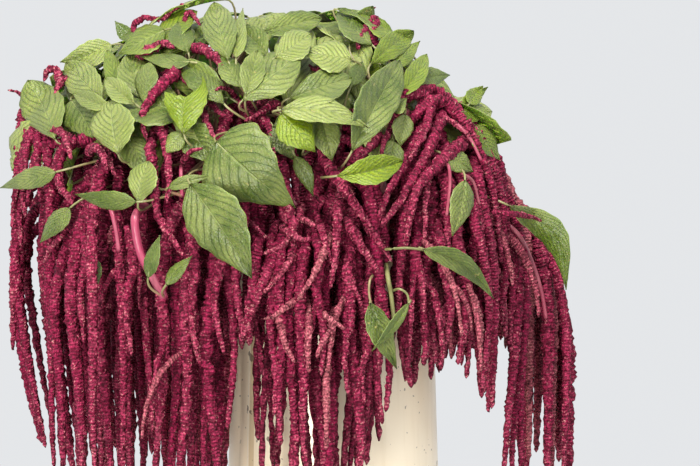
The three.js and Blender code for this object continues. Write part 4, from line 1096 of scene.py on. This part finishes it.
seedFlorets = tasselMaterial()
sunk = tasselSetup["drapeSunk"][0]
drapeOwner = [nearestStem(onDome(*line[0], out - sunk), pastCrest) for line, _, out, _ in drapes]
tasselCount = 0
for index, plan in enumerate(stems):
    rng = np.random.default_rng(900 + index)
    parts, hosts = [axisPart(plan)], []
    for row, (count, outward, *_) in enumerate(tasselRows):
        for k in range(count):
            path = tasselPath(plan, row, k, rng)
            radius = tasselSetup["radius"] * rng.uniform(0.8, 1.15)
            clump = rng.choice([0.7, 1, 1.6])
            sides = tasselSetup["outerSides" if outward > tasselSetup["outer"] else "innerSides"]
            # the far-right seed head is painted paler, painted light in place of the light that side lacks
            tone = rng.uniform(0, 0.8) + (0 if index else tasselSetup["paler"])  # paler at the far right
            parts.append(floretRope(path, radius, levelOf(plan), rng, tone, clump, sides))
            hosts.append(path)
    parts += [youngTassel(plan, rng) for _ in range(tasselSetup["young"] if index else 1)]
    parts += [twigTassel(hosts[rng.integers(len(hosts))], plan, rng) for _ in range(tasselSetup["twigs"])]
    parts += [drapePart(drape, rng) for drape, owner in zip(drapes, drapeOwner) if owner == index]
    tasselCount += len(parts) - 1
    name = f"{index + 1:02d}"
    makePiece("seedHead" + name, parts, [seedFlorets, stalkSkin], "seed_head_" + name)
print("seed heads made:", tasselCount, "tassels")

# A plain pale floor disc, a plain pale world behind it, and soft light. All of it in metres.
stageSetup = {
    "floorColour": (0.5, 0.5, 0.5, 1), "radius": 0.94, "sides": 128,
    "world": (0.78, 0.795, 0.815, 1), "worldStrength": 1.0,
}


def makeFloor():
    # one round face at height 0
    sides = stageSetup["sides"]
    angle = np.linspace(0, 2 * math.pi, sides, endpoint=False)
    rim = np.stack([np.cos(angle), np.sin(angle), 0 * angle], -1) * stageSetup["radius"]
    mesh = bpy.data.meshes.new("floor")
    mesh.from_pydata(rim.tolist(), [], [list(range(sides))])
    material, _, _ = newMaterial("paleFloor", Roughness=0.9, Base_Color=stageSetup["floorColour"])
    mesh.materials.append(material)
    floor = bpy.data.objects.new("floor", mesh)
    scene.collection.objects.link(floor)


def softLight(name, place, target, size, power, colour):
    # a disc of light, tipped up from straight down and turned round until it faces its target
    data = bpy.data.lights.new(name, "AREA")
    data.shape, data.size, data.energy, data.color = "DISK", size, power, colour
    light = bpy.data.objects.new(name, data)
    light.location = place
    dx, dy, dz = np.array(target) - np.array(place)
    light.rotation_euler = (math.acos(-dz / math.hypot(dx, dy, dz)), 0, math.atan2(dx, -dy) + math.pi)
    scene.collection.objects.link(light)


makeFloor()
warm, paler, palest = (1.0, 0.97, 0.93), (1.0, 0.98, 0.94), (1.0, 0.98, 0.96)
softLight("key", place=(-0.35, -1.3, 2.45), target=(0, 0, 0.35), size=0.8, power=82, colour=paler)
softLight("fill", place=(-0.8, -2.3, 0.14), target=(0, 0, 0.1), size=1.1, power=66, colour=warm)
softLight("side", place=(1.15, -0.95, 1.75), target=(0.15, 0, 0.2), size=0.7, power=16, colour=palest)
world = bpy.data.worlds.new("studio")
world.use_nodes = True
world.node_tree.nodes["Background"].inputs["Color"].default_value = stageSetup["world"]
world.node_tree.nodes["Background"].inputs["Strength"].default_value = stageSetup["worldStrength"]
scene.world = world
print("floor and lights set")
